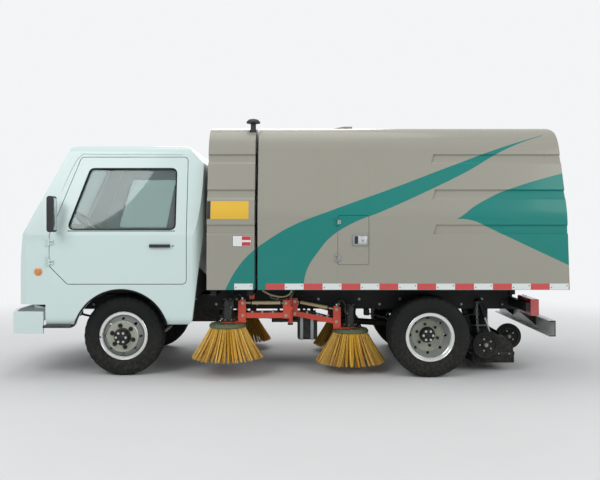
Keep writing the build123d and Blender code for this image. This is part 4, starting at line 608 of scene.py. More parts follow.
def rear_bumper_pick(c, n):
    """A silver beam on black carriers."""
    return 0 if c.x < -2.37 and 0.37 < c.z < 0.515 and abs(n.y) < 0.9 else 1


def cab_pick(c, n):
    """Paint outside, dark lining on the floor, the wells and underneath."""
    if n.z > 0.6 and c.z < 1.1 or c.z < 0.86 and abs(c.y) < 0.83 and c.x < 2.3:
        return 1
    return 0


def cab_door_pick(c, n):
    """Paint, with glass in the window, a black mirror and a black pull."""
    mirror = abs(c.y) > 0.945 and c.z > 1.3
    pull = abs(c.y) > 0.927 and 1.17 < c.z < 1.21 and 1.05 < c.x < 1.24
    if mirror or pull:
        return 2
    depth = cab_side(c.z) - abs(c.y)
    return 1 if abs(n.y) > 0.5 and c.z > 1.33 and 0.018 < depth < 0.031 else 0


def rim_pick(x, hub_y, drum_y):
    """Silver rim, painted disc and dish, black hub outside and drum inside; y is from the middle outwards."""
    def pick(c, n):
        r = hypot(c.x - x, c.z - WHEEL_Z)
        if r < 0.08 and abs(c.y) > hub_y or r < 0.155 and abs(c.y) < drum_y:
            return 1
        if r < 0.143:
            return 2
        return 3 if r < 0.192 else 0
    return pick


def cab_side(z):
    """Half-width of the cab at height z."""
    return 0.925 - 0.17 * max(0.0, z - 1.29)


PLAIN_NODES = {
    "side_grille": BODY, "arrow_boards": BOARD, "tail_cylinder": BUMPER, "tail_rod": STEEL,
    "lift_cylinder": CHASSIS, "lift_rod": STEEL, "chassis_frame": CHASSIS, "front_axle": CHASSIS,
    "rear_axle": CHASSIS, "fuel_tank": CHASSIS, "suction_nozzle": CHASSIS, "tie_rod": CHASSIS,
    "engine_blocks": CAST, "steering_knuckle_left": CAST, "steering_knuckle_right": CAST,
    "silencer": SILENCER, "air_intakes": BLACK, "brush_brackets": RED, "tail_lamps": LAMP_RED,
    "cab_glass": GLASS, "cab_interior": INTERIOR, "intake_box": BLACK, "nozzle_wheel_left": RUBBER,
    "nozzle_wheel_right": RUBBER, "nozzle_wheel_rear": RUBBER,
}
for node, finish in PLAIN_NODES.items():
    dress(node, finish)
dress("hopper_shell", BODY, SOFFIT_DIRT_AND_SHADE, BODY_PLAIN, pick=shell_pick)
dress("front_module", BODY, SOFFIT_DIRT_AND_SHADE, pick=module_pick)
# The bin: plain paint on its rear wall; dark grey elsewhere, for dirty steel and for painted shade under the
# body
dress("hopper_bin", BODY_PLAIN, SOFFIT_DIRT_AND_SHADE, pick=lambda c, n: 0 if c.x < -2.37 and c.z > 0.8 else 1)
dress("tail_door", TEAL_PAINT, TEAL_DARK, PLATED, STEEL, pick=tail_door_pick)
dress("rear_bumper", BUMPER, CHASSIS, pick=rear_bumper_pick)
dress("front_bumper", CAB, CHASSIS, pick=lambda c, n: 1 if c.x < 2.44 and abs(c.y) < 0.7 else 0)
dress("cab_shell", CAB, CAB_IN, pick=cab_pick)
RIM = (SILVER, HUB, DISC_PAINT, DISC_CONE)
for _, mark in SIDES:
    dress("access_door_" + mark, BODY, GALVANISED, pick=lambda c, n: 1 if abs(c.y) > 1.0015 else 0)
    dress("cab_door_" + mark, CAB, GLASS, BLACK, pick=cab_door_pick)
    dress("front_rim_" + mark, *RIM, pick=rim_pick(FRONT_X, 0.852, 0.838))
    dress("rear_rims_" + mark, *RIM, pick=rim_pick(REAR_X, 0.742, 0.728))

# Brush arms: name, side, direction, arm y, brush y, droop in degrees
ARMS = [("front_left", 1, 1, 0.74, 0.76, 0), ("rear_left", 1, -1, 0.6, 0.56, 11),
        ("front_right", -1, 1, 0.74, 0.76, 12), ("rear_right", -1, -1, 0.6, 0.56, 15)]
for name, *_ in ARMS:
    dress("brush_arm_lower_" + name, RED)
    dress("brush_arm_upper_" + name, PLATED)
    low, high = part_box("brush_" + name)
    x, y, foot = (low.x + high.x) / 2, (low.y + high.y) / 2, high.z + 0.0085
    dress("brush_head_" + name, RED, MOTOR,
          pick=lambda c, n: 1 if hypot(c.x - x, c.y - y) < 0.0515 and c.z > foot else 0)


# Tyres with tread

# Radius, half-width, share of the shoulder cuts
TYRE_HALF = [
    (0.2065, 0.06, 0), (0.216, 0.0625, 0), (0.226, 0.066, 0), (0.233, 0.073, 0), (0.237, 0.075, 0),
    (0.241, 0.0755, 0), (0.262, 0.081, 0), (0.266, 0.0828, 0), (0.272, 0.0832, 0), (0.276, 0.0822, 0),
    (0.3, 0.084, 0), (0.318, 0.0836, 0), (0.322, 0.0815, 0), (0.33, 0.08, 1), (0.344, 0.0765, 1),
    (0.357, 0.07, 1), (0.3622, 0.06, 1), (0.3642, 0.05, 1), (0.3642, 0.044, 0), (0.355, 0.0425, 0),
    (0.355, 0.037, 0), (0.3645, 0.0355, 0), (0.365, 0.016, 0), (0.3555, 0.0145, 0), (0.3555, 0.009, 0),
    (0.365, 0.0075, 0),
]
CUT_DEPTH = 0.009


def tyre_piece(name, body, centres, x, replaced):
    """Tyres with grooved ribs, shoulder blocks and ringed sidewalls."""
    piece = Piece(name, body, "tyre", TYRE)
    profile = [(r, -w, cut) for r, w, cut in TYRE_HALF] + [(r, w, cut) for r, w, cut in reversed(TYRE_HALF)]
    for y in centres:
        rows = []
        for r, w, cut in profile:
            row = []
            for i, a in enumerate(around(132)):
                dip = CUT_DEPTH * cut if (i + (2 if w > 0 else 0)) % 4 == 0 else 0.0
                row.append(Vector((x + (r - dip) * cos(a), y + w * (1 - dip * 4),
                                   WHEEL_Z + (r - dip) * sin(a))))
            rows.append(row)
        piece.round_loft(rows, 0)
    piece.done(50.0, (replaced,))


def wheel_nuts(name, body, x, face_y, lip_y, side):
    """Six dark wheel nuts on the disc, bright bolts on the hub's face and rolled edges of rim and disc."""
    piece = Piece(name, body, "rim_silver", HUB, STEEL, SILVER)
    out = (0, side, 0)
    for y, radius, thick in ((lip_y, 0.218, 0.0042), (lip_y - 0.014, 0.1945, 0.005),
                             (lip_y - 0.036, 0.195, 0.0035), (face_y, 0.1385, 0.003)):
        piece.ring((x, side * y, WHEEL_Z), out, radius, thick, 2, 72, 10)
    for a in around(6, 0.3):
        piece.bolt((x + 0.1 * cos(a), side * face_y, WHEEL_Z + 0.1 * sin(a)), out, 0.026, 0, 0.012)
    for a in around(6):
        piece.bolt((x + 0.044 * cos(a), side * (face_y + 0.074), WHEEL_Z + 0.044 * sin(a)), out,
                   0.014, 1, 0.003)
    piece.turned((x, side * (face_y + 0.073), WHEEL_Z), out,
                 [(0.03, 0.0), (0.03, 0.01), (0.024, 0.016), (0.001, 0.018)], 0, 24)
    piece.bar((x + 0.205, side * (face_y + 0.02), WHEEL_Z), (x + 0.185, side * (face_y + 0.055), WHEEL_Z),
              0.006)
    piece.done()


for side, mark in SIDES:
    tyre_piece("tread_front_" + mark, "wheel_front_" + mark[0], (side * 0.75,), FRONT_X, "front_tyre_" + mark)
for side, mark in SIDES:
    tyre_piece("tread_rear_" + mark, "wheels_rear_" + mark[0], (side * 0.64, side * 0.84), REAR_X,
               "rear_tyres_" + mark)
for side, mark in SIDES:
    wheel_nuts("nuts_front_" + mark, "wheel_front_" + mark[0], FRONT_X, 0.85, 0.8185, side)
    wheel_nuts("nuts_rear_" + mark, "wheels_rear_" + mark[0], REAR_X, 0.74, 0.9085, side)


# Brushes

BRISTLE_FALL = 0.29


def brush_piece(name):
    """A ribbed disc with tufts of bristles that flare to the road."""
    low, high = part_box("brush_" + name)
    x, y = (low.x + high.x) / 2, (low.y + high.y) / 2
    root_z = low.z + BRISTLE_FALL
    piece = Piece("bristles_" + name, "rotor_" + name, "bristle", BRISTLE, DISC_GREEN, GALVANISED,
                  BRISTLE_PAINTED_LIGHT, BRISTLE_PAINTED_SHADE)
    piece.turned((x, y, root_z), UP, [
        (0.06, 0.0), (0.164, 0.0), (0.17, 0.006), (0.17, 0.02), (0.163, 0.024), (0.158, 0.034), (0.11, 0.036),
        (0.05, 0.036), (0.026, 0.038), (0.026, 0.0415),
    ], 1, 48)
    for a in around(8):
        piece.bolt((x + 0.135 * cos(a), y + 0.135 * sin(a), root_z + 0.035), UP, 0.008, 2)
    # Rings of tufts: count, root radius, tip radius, share of the full length
    for count, root, tip, share in ((52, 0.158, 0.322, 0.98), (50, 0.142, 0.3, 1.0), (40, 0.112, 0.266, 1.0)):
        for i in range(count):
            centre = 2 * pi * (i + 0.16 * random.random()) / count
            drift = random.uniform(-0.05, 0.05)
            for _ in range(8):
                a = centre + random.uniform(-0.04, 0.04)
                lean = centre + drift + (a - centre) * 0.55 + random.uniform(-0.012, 0.012)
                reach = tip + random.uniform(-0.02, 0.008)
                fall = BRISTLE_FALL * share * random.uniform(0.95, 1.0)
                width = random.uniform(0.0017, 0.0027)
                # The outer ring mixes plain, pale and dark copies at random, for uneven strands and a painted
                # highlight; the inner rings mostly take the dark copy, a painted shade for tufts the outer
                # ring hides
                tone = random.choice((0, 0, 3, 3, 4)) if count > 50 else random.choice((0, 4, 4))
                rows = []
                for t, grow in ((0.0, 0.9), (0.35, 1.0), (0.7, 1.1), (1.0, 0.8)):
                    r = root + (reach - root) * (t * 0.85 + 0.15 * t * t)
                    turn = a + (lean - a) * t * t
                    p = Vector((x + r * cos(turn), y + r * sin(turn), root_z + 0.003 - fall * t))
                    across = Vector((-sin(a), cos(a), 0)) * width * grow
                    out = Vector((cos(a), sin(a), 0.4)) * width * grow
                    rows.append([p + across, p + out, p - across, p - out])
                piece.loft(rows, tone)
    piece.done(60.0, ("brush_" + name,))


for name, *_ in ARMS:
    brush_piece(name)


# Trim of the body

HALF_W, LEAN = 1.0, 0.25
KNEE_LOW, KNEE_Z, KNEE_HIGH, KNEE_R = 1.4407, 1.49, 1.5378, 0.4


def skin(z):
    """Half-width of the body's side at height z, through the rounded knee."""
    if z <= KNEE_LOW:
        return HALF_W
    if z >= KNEE_HIGH:
        return HALF_W - LEAN * (z - KNEE_Z)
    return HALF_W - KNEE_R + sqrt(KNEE_R ** 2 - (z - KNEE_LOW) ** 2)


def sheet(piece, side, x0, x1, z0, z1, finish=0, thick=0.0012):
    """A thin sheet laid on the body's side."""
    count = 6 if z1 > KNEE_LOW and z0 < KNEE_HIGH else 1
    rows = []
    for i in range(count + 1):
        z = z0 + (z1 - z0) * i / count
        under, over = side * (skin(z) - 0.001), side * (skin(z) + thick)
        rows.append([(x0, under, z), (x1, under, z), (x1, over, z), (x0, over, z)])
    piece.loft(rows, finish)


def mirrored(side, *points):
    """Points given for the left side, on either side."""
    return [(x, side * y, z) for x, y, z in points]


# Foot strips: side, body, first x, step, colours in order (r red, w white)
STRIP_Z, STRIP_L = (0.806, 0.86), 0.169
TAPES = (TAPE_RED, TAPE_WHITE, LABEL_RED)
FOOT_STRIPS = [
    (1, "hopper", 0.185, -STRIP_L, "rw" * 8), (-1, "hopper", -2.528, STRIP_L, "wr" * 8),
    (1, "chassis", 0.467, -0.165, "w"), (-1, "chassis", 0.289, 0.152, "w"),
]
for number, (side, body, x, step, order) in enumerate(FOOT_STRIPS):
    piece = Piece("foot_strips_%d" % number, body, "board_grey", *TAPES)
    for mark in order:
        x0, x1 = sorted((x, x + step * 0.995))
        sheet(piece, side, x0, x1, *STRIP_Z, "rw".index(mark))
        if mark == "w":
            sheet(piece, side, x0 + 0.01, x0 + 0.02, 0.836, 0.846, 2, 0.0018)
            sheet(piece, side, x1 - 0.02, x1 - 0.01, 0.82, 0.83, 2, 0.0018)
        x += step
    piece.done()

labels = Piece("module_labels", "chassis", "board_grey", LABEL_WHITE, LABEL_RED, LABEL_YELLOW, BLACK)
sheet(labels, 1, 0.34, 0.68, 1.437, 1.597, 2)
sheet(labels, 1, 0.682, 0.712, 1.437, 1.597, 3)
for side, x0, x1 in ((1, 0.315, 0.483), (-1, 0.306, 0.468), (-1, 0.547, 0.708)):
    z0, z1 = 1.19, 1.289
    sheet(labels, side, x0, x1, z0, z1, 3, 0.0008)
    sheet(labels, side, x0 + 0.003, x1 - 0.003, z0 + 0.003, z1 - 0.003, 0, 0.0014)
    near = x0 + 0.006 if side > 0 else x1 - 0.084
    for z in (z0 + 0.007, z1 - 0.04):
        sheet(labels, side, near, near + 0.078, z, z + 0.033, 1, 0.002)
labels.done()

# Parts of a latch: x from its edge, z from its middle, depth in front of the door, finish, bevel
LATCH_Y = 1.009
LATCH = [
    (0.01, 0.144, 0.04, 0.048, 0.003, 0, 0.0015), (0.01, 0.144, -0.048, -0.04, 0.003, 0, 0.0015),
    (0.01, 0.018, -0.048, 0.048, 0.003, 0, 0.0015), (0.136, 0.144, -0.048, 0.048, 0.003, 0, 0.0015),
    (0.1, 0.13, -0.034, 0.034, 0.0008, 1, 0.0), (0.022, 0.096, -0.034, 0.034, 0.004, 2, 0.003),
]
for side, body, x0, mid in ((1, "access_l", -0.737, 1.2485), (-1, "access_r", -0.753, 1.271)):
    latch = Piece("latch_" + body, body, "steel", GALVANISED, BLACK, STEEL)
    for a, b, c, d, depth, finish, bevel in LATCH:
        latch.block((x0 + a, side * (LATCH_Y - 0.002), mid + c), (x0 + b, side * (LATCH_Y + depth), mid + d),
                    finish, bevel)
    latch.turned((x0 + 0.058, side * (LATCH_Y + 0.004), mid - 0.004), (0, side, 0),
                 [(0.0001, -0.001), (0.011, -0.001), (0.011, 0.003), (0.008, 0.004), (0.0001, 0.004)], 0, 20)
    latch.block((x0 + 0.0566, side * (LATCH_Y + 0.0078), mid - 0.01),
                (x0 + 0.0594, side * (LATCH_Y + 0.0086), mid + 0.002), 1)
    latch.done()

# Strips on the bin's rear wall: finish, middle y, half-width
WALL_X = -2.4
WALL_STRIPS = [(1, 0.61, 0.058), (0, 0.48, 0.078), (1, 0.216, 0.089), (0, -0.118, 0.088), (1, -0.289, 0.082),
               (0, -0.458, 0.086), (1, -0.64, 0.08)]
wall = Piece("wall_strips", "hopper", "board_grey", *TAPES)
for finish, y, half in WALL_STRIPS:
    wall.block((WALL_X - 0.0012, y - half, 1.97), (WALL_X + 0.001, y + half, 2.02), finish)
    if finish:
        wall.block((WALL_X - 0.0018, y + half - 0.022, 1.982), (WALL_X, y + half - 0.011, 1.993), 2)
for y in (0.757, -0.757):
    for finish, z0, z1 in ((1, 1.768, 1.926), (0, 1.612, 1.766)):
        wall.block((WALL_X - 0.0012, y - 0.029, z0), (WALL_X + 0.001, y + 0.029, z1), finish)
    wall.block((WALL_X - 0.0018, y - 0.006, 1.784), (WALL_X, y + 0.006, 1.796), 2)
wall.done()

# Strips, sign and hinge bolts of the tail door
door_trim = Piece("tail_door_strips", "hopper_tail_door", "board_grey", *TAPES, LABEL_WHITE, STEEL)
for side in (1, -1):
    for finish, z0, z1, y0, y1 in ((1, 1.444, 1.594, 0.782, 0.775), (0, 1.206, 1.368, 0.792, 0.785),
                                   (1, 0.972, 1.132, 0.803, 0.796)):
        corners = ((y0 - 0.028, z0), (y0 + 0.028, z0), (y1 + 0.028, z1), (y1 - 0.028, z1))
        door_trim.prism([(DOOR_X + 0.001, side * y, z) for y, z in corners], (-0.0022, 0, 0), finish)
        if finish:
            for z in (z0 + 0.02, z1 - 0.024):
                door_trim.block((DOOR_X - 0.0018, side * y0 - 0.006, z),
                                (DOOR_X, side * y0 + 0.006, z + 0.012), 2)
    for end in (1, -1):
        door_trim.bolt((-2.47, side * 0.538 + end * 0.04, 1.705), (0, end, 0), 0.016, 4, 0.004)
        for z in (1.485, 1.58):
            door_trim.bolt((-2.469, side * 0.538 + end * 0.05, z), (-1, 0, 0), 0.01, 4)
    door_trim.bolt((-2.5, side * 0.036, 1.3), (0, side, 0), 0.02, 4, 0.01)
    door_trim.bolt((-2.5, side * 0.018, 1.07), (0, side, 0), 0.012, 4, 0.004)
door_trim.block((DOOR_X - 0.0012, 0.464, 1.338), (DOOR_X + 0.001, 0.638, 1.432), 3)
for y1, z0, z1 in ((0.556, 1.405, 1.428), (0.556, 1.362, 1.388), (0.63, 1.342, 1.348)):
    door_trim.block((DOOR_X - 0.0017, 0.47, z0), (DOOR_X, y1, z1), 0)
door_trim.ring((-2.512, 0, 1.045), (1, 0, 0), 0.02, 0.006, 4)
door_trim.done()

# Lenses of the tail lamps and marks of the rear bumper
rear_trim = Piece("rear_lenses", "chassis", "lamp_lens", LAMP_CLEAR, LAMP_RED, LAMP_BRIGHT, TAPE_RED,
                  GALVANISED)
for side in (1, -1):
    for finish, y0, y1, z0, z1, out in (
            (0, 0.552, 0.742, 0.658, 0.709, 0.004), (0, 0.746, 0.932, 0.658, 0.709, 0.004),
            (1, 0.552, 0.64, 0.57, 0.654, 0.004), (2, 0.644, 0.756, 0.57, 0.654, 0.006),
            (1, 0.76, 0.932, 0.57, 0.654, 0.004)):
        rear_trim.block((-2.274 - out, side * y0, z0), (-2.27, side * y1, z1), finish, 0.003)
    for y in (0.72, 0.8):
        rear_trim.bolt((-2.2, side * y, 0.735), -UP, 0.01, 4, 0.03)
for y0, y1 in ((0.542, 0.715), (0.106, 0.278), (-0.256, -0.084), (-0.707, -0.535)):
    rear_trim.block((-2.4412, y0, 0.414), (-2.439, y1, 0.476), 3)
for y in (0.86, 0.745, 0.435, 0.08, -0.28, -0.735, -0.86):
    rear_trim.bolt((-2.44, y, 0.446), (-1, 0, 0), 0.01, 4 if abs(y) > 0.8 else 1)
rear_trim.done()

# Lamps of the arrow boards
BOARD_LINE = [(0.334, 2.041), (0.334, 2.136), (0.572, 2.136), (0.54, 2.188), (0.625, 2.188), (0.746, 2.087),
              (0.64, 1.977), (0.536, 1.977), (0.59, 2.041)]


def inside(y, z, line):
    """Whether a point lies in an outline."""
    found = False
    for (y0, z0), (y1, z1) in zip(line, line[1:] + line[:1]):
        if (z0 > z) != (z1 > z) and y < y0 + (y1 - y0) * (z - z0) / (z1 - z0):
            found = not found
    return found


# Lamps are left out nearer than this to the board's edge
EDGE = 0.021
LAMP_SHAPE = [(0.0086, 0.0), (0.0086, 0.002), (0.0068, 0.0045), (0.003, 0.006), (0.0003, 0.0062)]
board_lamps = Piece("board_lamps", "hopper", "board_grey", LAMP_CLEAR, BLACK)
for side in (1, -1):
    for row in range(12):
        for col in range(22):
            y = 0.332 + col * 0.0215 + (0.01075 if row % 2 else 0.0)
            z = 1.985 + row * 0.0186
            if all(inside(y + EDGE * cos(a), z + EDGE * sin(a), BOARD_LINE)
                   for a in (0.0, 1.1, 2.1, 3.1, 4.2, 5.2)):
                board_lamps.turned((-2.4255, side * y, z), (-1, 0, 0), LAMP_SHAPE, 0, 10)
board_lamps.tube([(-2.404, 0.345, 2.087), (-2.404, 0.1, 2.083), (-2.404, -0.15, 2.084),
                  (-2.404, -0.345, 2.087)], 0.003, 1, 8, 4)
board_lamps.done(60.0)

# Pipes of the tail cylinder: across the top, down the left edge, and hoses to the cylinder
pipes = Piece("tail_pipes", "hopper", "steel", PLATED, GALVANISED, BLACK, STEEL)
for shift in (0.0, 1.0):
    z, y = 2.179 - 0.022 * shift, 0.893 - 0.019 * shift
    pipes.tube([(-2.414, 0.01, z), (-2.414, 0.3, z), (-2.414, 0.62, z),
                (-2.414, 0.7 - 0.012 * shift, z - 0.02), (-2.416, 0.742 - 0.018 * shift, z - 0.09),
                (-2.418, y - 0.035, 1.6), (-2.418, y, 1.38), (-2.418, y, 1.15), (-2.418, y, 0.985)],
               0.0062, 0, 10, 5)
    start = Vector((-2.42, -0.002 - 0.028 * shift, 2.196 - 0.024 * shift))
    pipes.bar(start, start + Vector((-0.006, -0.04, 0.004)), 0.01, 3, 6)
    pipes.tube([start + Vector((-0.006, -0.036, 0.004)), start + Vector((-0.016, -0.11, -0.022)),
                (-2.44, -0.178 + 0.022 * shift, 2.118 - 0.004 * shift),
                (-2.448, -0.168 + 0.024 * shift, 2.065), (-2.456, -0.128 + 0.024 * shift, 2.01),
                (-2.462, -0.1 + 0.026 * shift, 1.985)], 0.0105, 2, 12, 6)
    pipes.bar((-2.46, -0.107 + 0.026 * shift, 1.993), (-2.468, -0.08 + 0.026 * shift, 1.966), 0.0125, 3, 6)
# Clamps: x of the face, y, z, half-width, half-height
for x, y, z, wide, tall in ((-2.424, 0.314, 2.168, 0.018, 0.024), (-2.424, 0.05, 2.168, 0.014, 0.024),
                            (-2.428, 0.884, 1.402, 0.018, 0.016), (-2.428, 0.884, 1.12, 0.018, 0.016)):
    pipes.block((x, y - wide, z - tall), (WALL_X, y + wide, z + tall), 1, 0.003)
    pipes.bolt((x, y, z), (-1, 0, 0), 0.01, 3)
pipes.block((-2.432, 0.862, 0.972), (-2.404, 0.905, 0.992), 2, 0.005)
pipes.done()
CYLINDER_X = -2.5
hoses = Piece("cylinder_hoses", "tail_barrel", "steel", BLACK, STEEL, BUMPER)
hoses.tube([(-2.468, -0.082, 1.968), (-2.48, -0.068, 1.925), (-2.49, -0.06, 1.85), (-2.494, -0.058, 1.75),
            (-2.497, -0.058, 1.64), (-2.499, -0.057, 1.605)], 0.0105, 0, 12, 6)
hoses.tube([(-2.468, -0.054, 1.97), (-2.482, -0.05, 1.955), (-2.494, -0.044, 1.944),
            (CYLINDER_X, -0.034, 1.934)], 0.01, 0, 12, 5)
# Fittings: y, z, y, z, radius, sides
for y0, z0, y1, z1, r, sides in ((-0.057, 1.608, -0.057, 1.585, 0.0125, 6),
                                 (-0.062, 1.585, -0.02, 1.585, 0.01, 12),
                                 (-0.04, 1.926, -0.018, 1.916, 0.012, 6)):
    hoses.bar((CYLINDER_X, y0, z0), (CYLINDER_X, y1, z1), r, 1, sides)
for z in (1.572, 1.604, 1.908):
    hoses.collar((CYLINDER_X, 0, z), UP, 0.0238, 0.0262, 0.012, 2)
for end in (1, -1):
    hoses.bolt((CYLINDER_X, end * 0.038, 1.975), (0, end, 0), 0.02, 1, 0.006)
hoses.done()

# Seam strips of the module, its ribbed duct and the clamps of its pipes
seams = Piece("module_trim", "chassis", "black_plastic", BLACK, GALVANISED)
for side in (1, -1):
    for z0, z1 in ((0.81, 1.29), (1.4, 1.6), (1.72, 1.93), (2.04, 2.16)):
        corners = [(z0, 0.006), (z0, 0.016), (z1, 0.016), (z1, 0.006)]
        seams.prism([(0.2865, side * (skin(z) - deep), z) for z, deep in corners], (-0.009, 0, 0), 0)
seams.tube([(0.63, -0.8, 0.797), (0.64, -0.8, 0.775), (0.665, -0.792, 0.756), (0.69, -0.775, 0.748),
            (0.708, -0.75, 0.745)], 0.03, 1, 16, 8, 0.005)
seams.bar((0.705, -0.754, 0.745), (0.735, -0.722, 0.744), 0.036, 1, 18)
for band in (0.0, 0.028):
    seams.collar((0.706 + band * 0.68, -0.753 + band * 0.73, 0.745), (0.68, 0.73, 0),
                 0.037, 0.039, 0.01, 0, 20)
for z in (0.7, 0.9):
    seams.collar((0.827, -0.716, z), UP, 0.0575, 0.0595, 0.012, 1, 32)
for z in (1.0, 1.6, 2.15):
    seams.collar((0.316, 0.7, z), UP, 0.0252, 0.0275, 0.02, 1, 24)
seams.done()

# Trim of the brush arms

PIVOT_X, PIVOT_Z, ARM_LENGTH, LINK_GAP = -0.03, 0.545, 0.4, 0.115
for name, side, way, arm_y, brush_y, droop in ARMS:
    y = side * arm_y
    inner = Vector((PIVOT_X + way * 0.04, y, PIVOT_Z))
    reach = Vector((way * ARM_LENGTH * cos(radians(droop)), 0, -ARM_LENGTH * sin(radians(droop))))
    outer = inner + reach
    x1, z1 = outer.x, outer.z
    head = Piece("head_trim_" + name, "arm_head_" + name, "arm_red", PLATED, MOTOR, STEEL, BLACK, RED)
    base = Vector((x1 + way * 0.139, side * brush_y, z1 - 0.055))
    head.turned(base, UP, [(0.051, 0.004), (0.066, 0.004), (0.066, 0.016), (0.052, 0.02)], 1, 28)
    head.collar(base + UP * 0.06, UP, 0.0495, 0.053, 0.06, 1)
    head.turned(base + UP * 0.15, UP,
                [(0.0495, 0.0), (0.0525, 0.002), (0.0525, 0.036), (0.048, 0.046)], 1, 28)
    head.turned(base + UP * 0.196, UP, [(0.04, 0.0), (0.04, 0.006), (0.03, 0.009), (0.001, 0.01)], 1, 28)
    for a in around(6, 0.2):
        head.bolt(base + Vector((0.058 * cos(a), 0.058 * sin(a), 0.0155)), UP, 0.01, 0, 0.003)
        head.bolt(base + Vector((0.033 * cos(a), 0.033 * sin(a), 0.203)), UP, 0.007, 0)
    for end in (1, -1):
        def by_motor(dx, dy, dz):
            """A point from the motor's foot, x along the arm's direction and y to this end."""
            return base + Vector((way * dx, end * dy, dz))

        def by_pin(dx, dy, dz):
            """A point from the lower outer pin, likewise."""
            return outer + Vector((way * dx, end * dy, dz))

        for up in (0.0, LINK_GAP):
            head.bolt(by_pin(0, 0.0265, up), (0, end, 0), 0.018, 0, 0.004)
        port = by_motor(-0.03, 0.04, 0.135)
        out = Vector((-way * 0.4, end * 0.9, 0.1)).normalized()
        head.bar(port, port + out * 0.032, 0.011, 2, 6)
        head.bar(port + out * 0.03, port + out * 0.046, 0.0085, 2, 12)
        start = port + out * 0.044
        head.tube([start, start + out * 0.02 + UP * 0.012, by_motor(-0.055, 0.075, 0.215),
                   by_pin(0.05, 0.024, 0.205), by_pin(0.012, 0.013, 0.175), by_pin(0.004, 0.012, 0.15)],
                  0.0095, 3, 12, 6)
        head.bar(by_pin(0.004, 0.012, 0.146), by_pin(0.004, 0.012, 0.166), 0.011, 2, 6)
    head.block((x1 - 0.02, y - 0.0265, z1 + 0.143), (x1 + 0.02, y + 0.0265, z1 + 0.149), 4, 0.001)
    head.done()
    # Hard lines clipped to the lower link, and a cream sleeve on the upper link
    line = Piece("arm_lines_" + name, "arm_lower_" + name, "arm_red", BLACK, GALVANISED)
    for end in (1, -1):
        beside = Vector((0, end * 0.01, 0.032))
        a = inner + Vector((way * 0.05, 0, 0)) + reach * 0.06 + beside
        b = outer - reach * 0.16 + beside
        line.tube([a, a.lerp(b, 0.3) + UP * 0.004, a.lerp(b, 0.7) + UP * 0.003, b], 0.0065, 0, 10, 5)
    for share in (0.3, 0.55, 0.78):
        at = inner + reach * share
        line.block(at + Vector((-0.008, -0.0185, 0.02)), at + Vector((0.008, 0.0185, 0.0415)), 1, 0.002)
    line.done()
    sleeve = Piece("sleeve_" + name, "arm_upper_" + name, "arm_red", HOSE_CREAM, BLACK)
    a, b = inner + UP * LINK_GAP, outer + UP * LINK_GAP
    sleeve.tube([a.lerp(b, share) for share in (0.1, 0.35, 0.6, 0.8)], 0.0155, 0, 16, 8, 0.0012)
    for share in (0.1, 0.79):
        sleeve.bar(a.lerp(b, share), a.lerp(b, share + 0.03), 0.0175, 1, 16)
    sleeve.done()

bracket_trim = Piece("bracket_trim", "chassis", "arm_red", PLATED, CHASSIS, GALVANISED, HOSE_CREAM, BLACK)
for name, side, way, arm_y, *_ in ARMS:
    for z in (PIVOT_Z, PIVOT_Z + LINK_GAP):
        for end in (1, -1):
            bracket_trim.bolt((PIVOT_X + way * 0.04, side * arm_y + end * 0.0265, z), (0, end, 0),
                              0.018, 0, 0.004)
for side in (1, -1):
    bracket_trim.chain(mirrored(side, (-0.06, 0.7, 0.79), (-0.05, 0.712, 0.745), (-0.034, 0.722, 0.715),
                                (-0.028, 0.728, 0.698)), 0.01, 2)
    bracket_trim.chain(mirrored(side, (-0.018, 0.714, 0.694), (0.05, 0.704, 0.678), (0.11, 0.702, 0.684),
                                (0.165, 0.706, 0.722)), 0.008, 2)
    bracket_trim.tube(mirrored(side, (-0.045, 0.705, 0.785), (-0.02, 0.712, 0.735), (0.05, 0.712, 0.712),
                               (0.15, 0.708, 0.73), (0.23, 0.7, 0.77)), 0.009, 3, 12, 6)
    for back in (0.0, 0.022):
        bracket_trim.tube(mirrored(side, (-0.06 - back, 0.56, 0.775), (-0.075 - back, 0.575, 0.735),
                                   (-0.11 - back, 0.588, 0.715), (-0.128 - back, 0.596, 0.706)),
                          0.0095, 4, 12, 6)
    bracket_trim.turned((PIVOT_X, side * 0.67, 0.446), UP,
                        [(0.0215, 0.0), (0.026, 0.0), (0.026, 0.014), (0.0215, 0.016)], 1, 24)
    for y in (0.42, 0.5, 0.64):
        bracket_trim.bolt((-0.0355, side * y, 0.608), (-1, 0, 0), 0.014, 0, 0.004)
bracket_trim.done()

# Suction nozzle: skirt, clamps, lifting struts, chains and wheel hubs

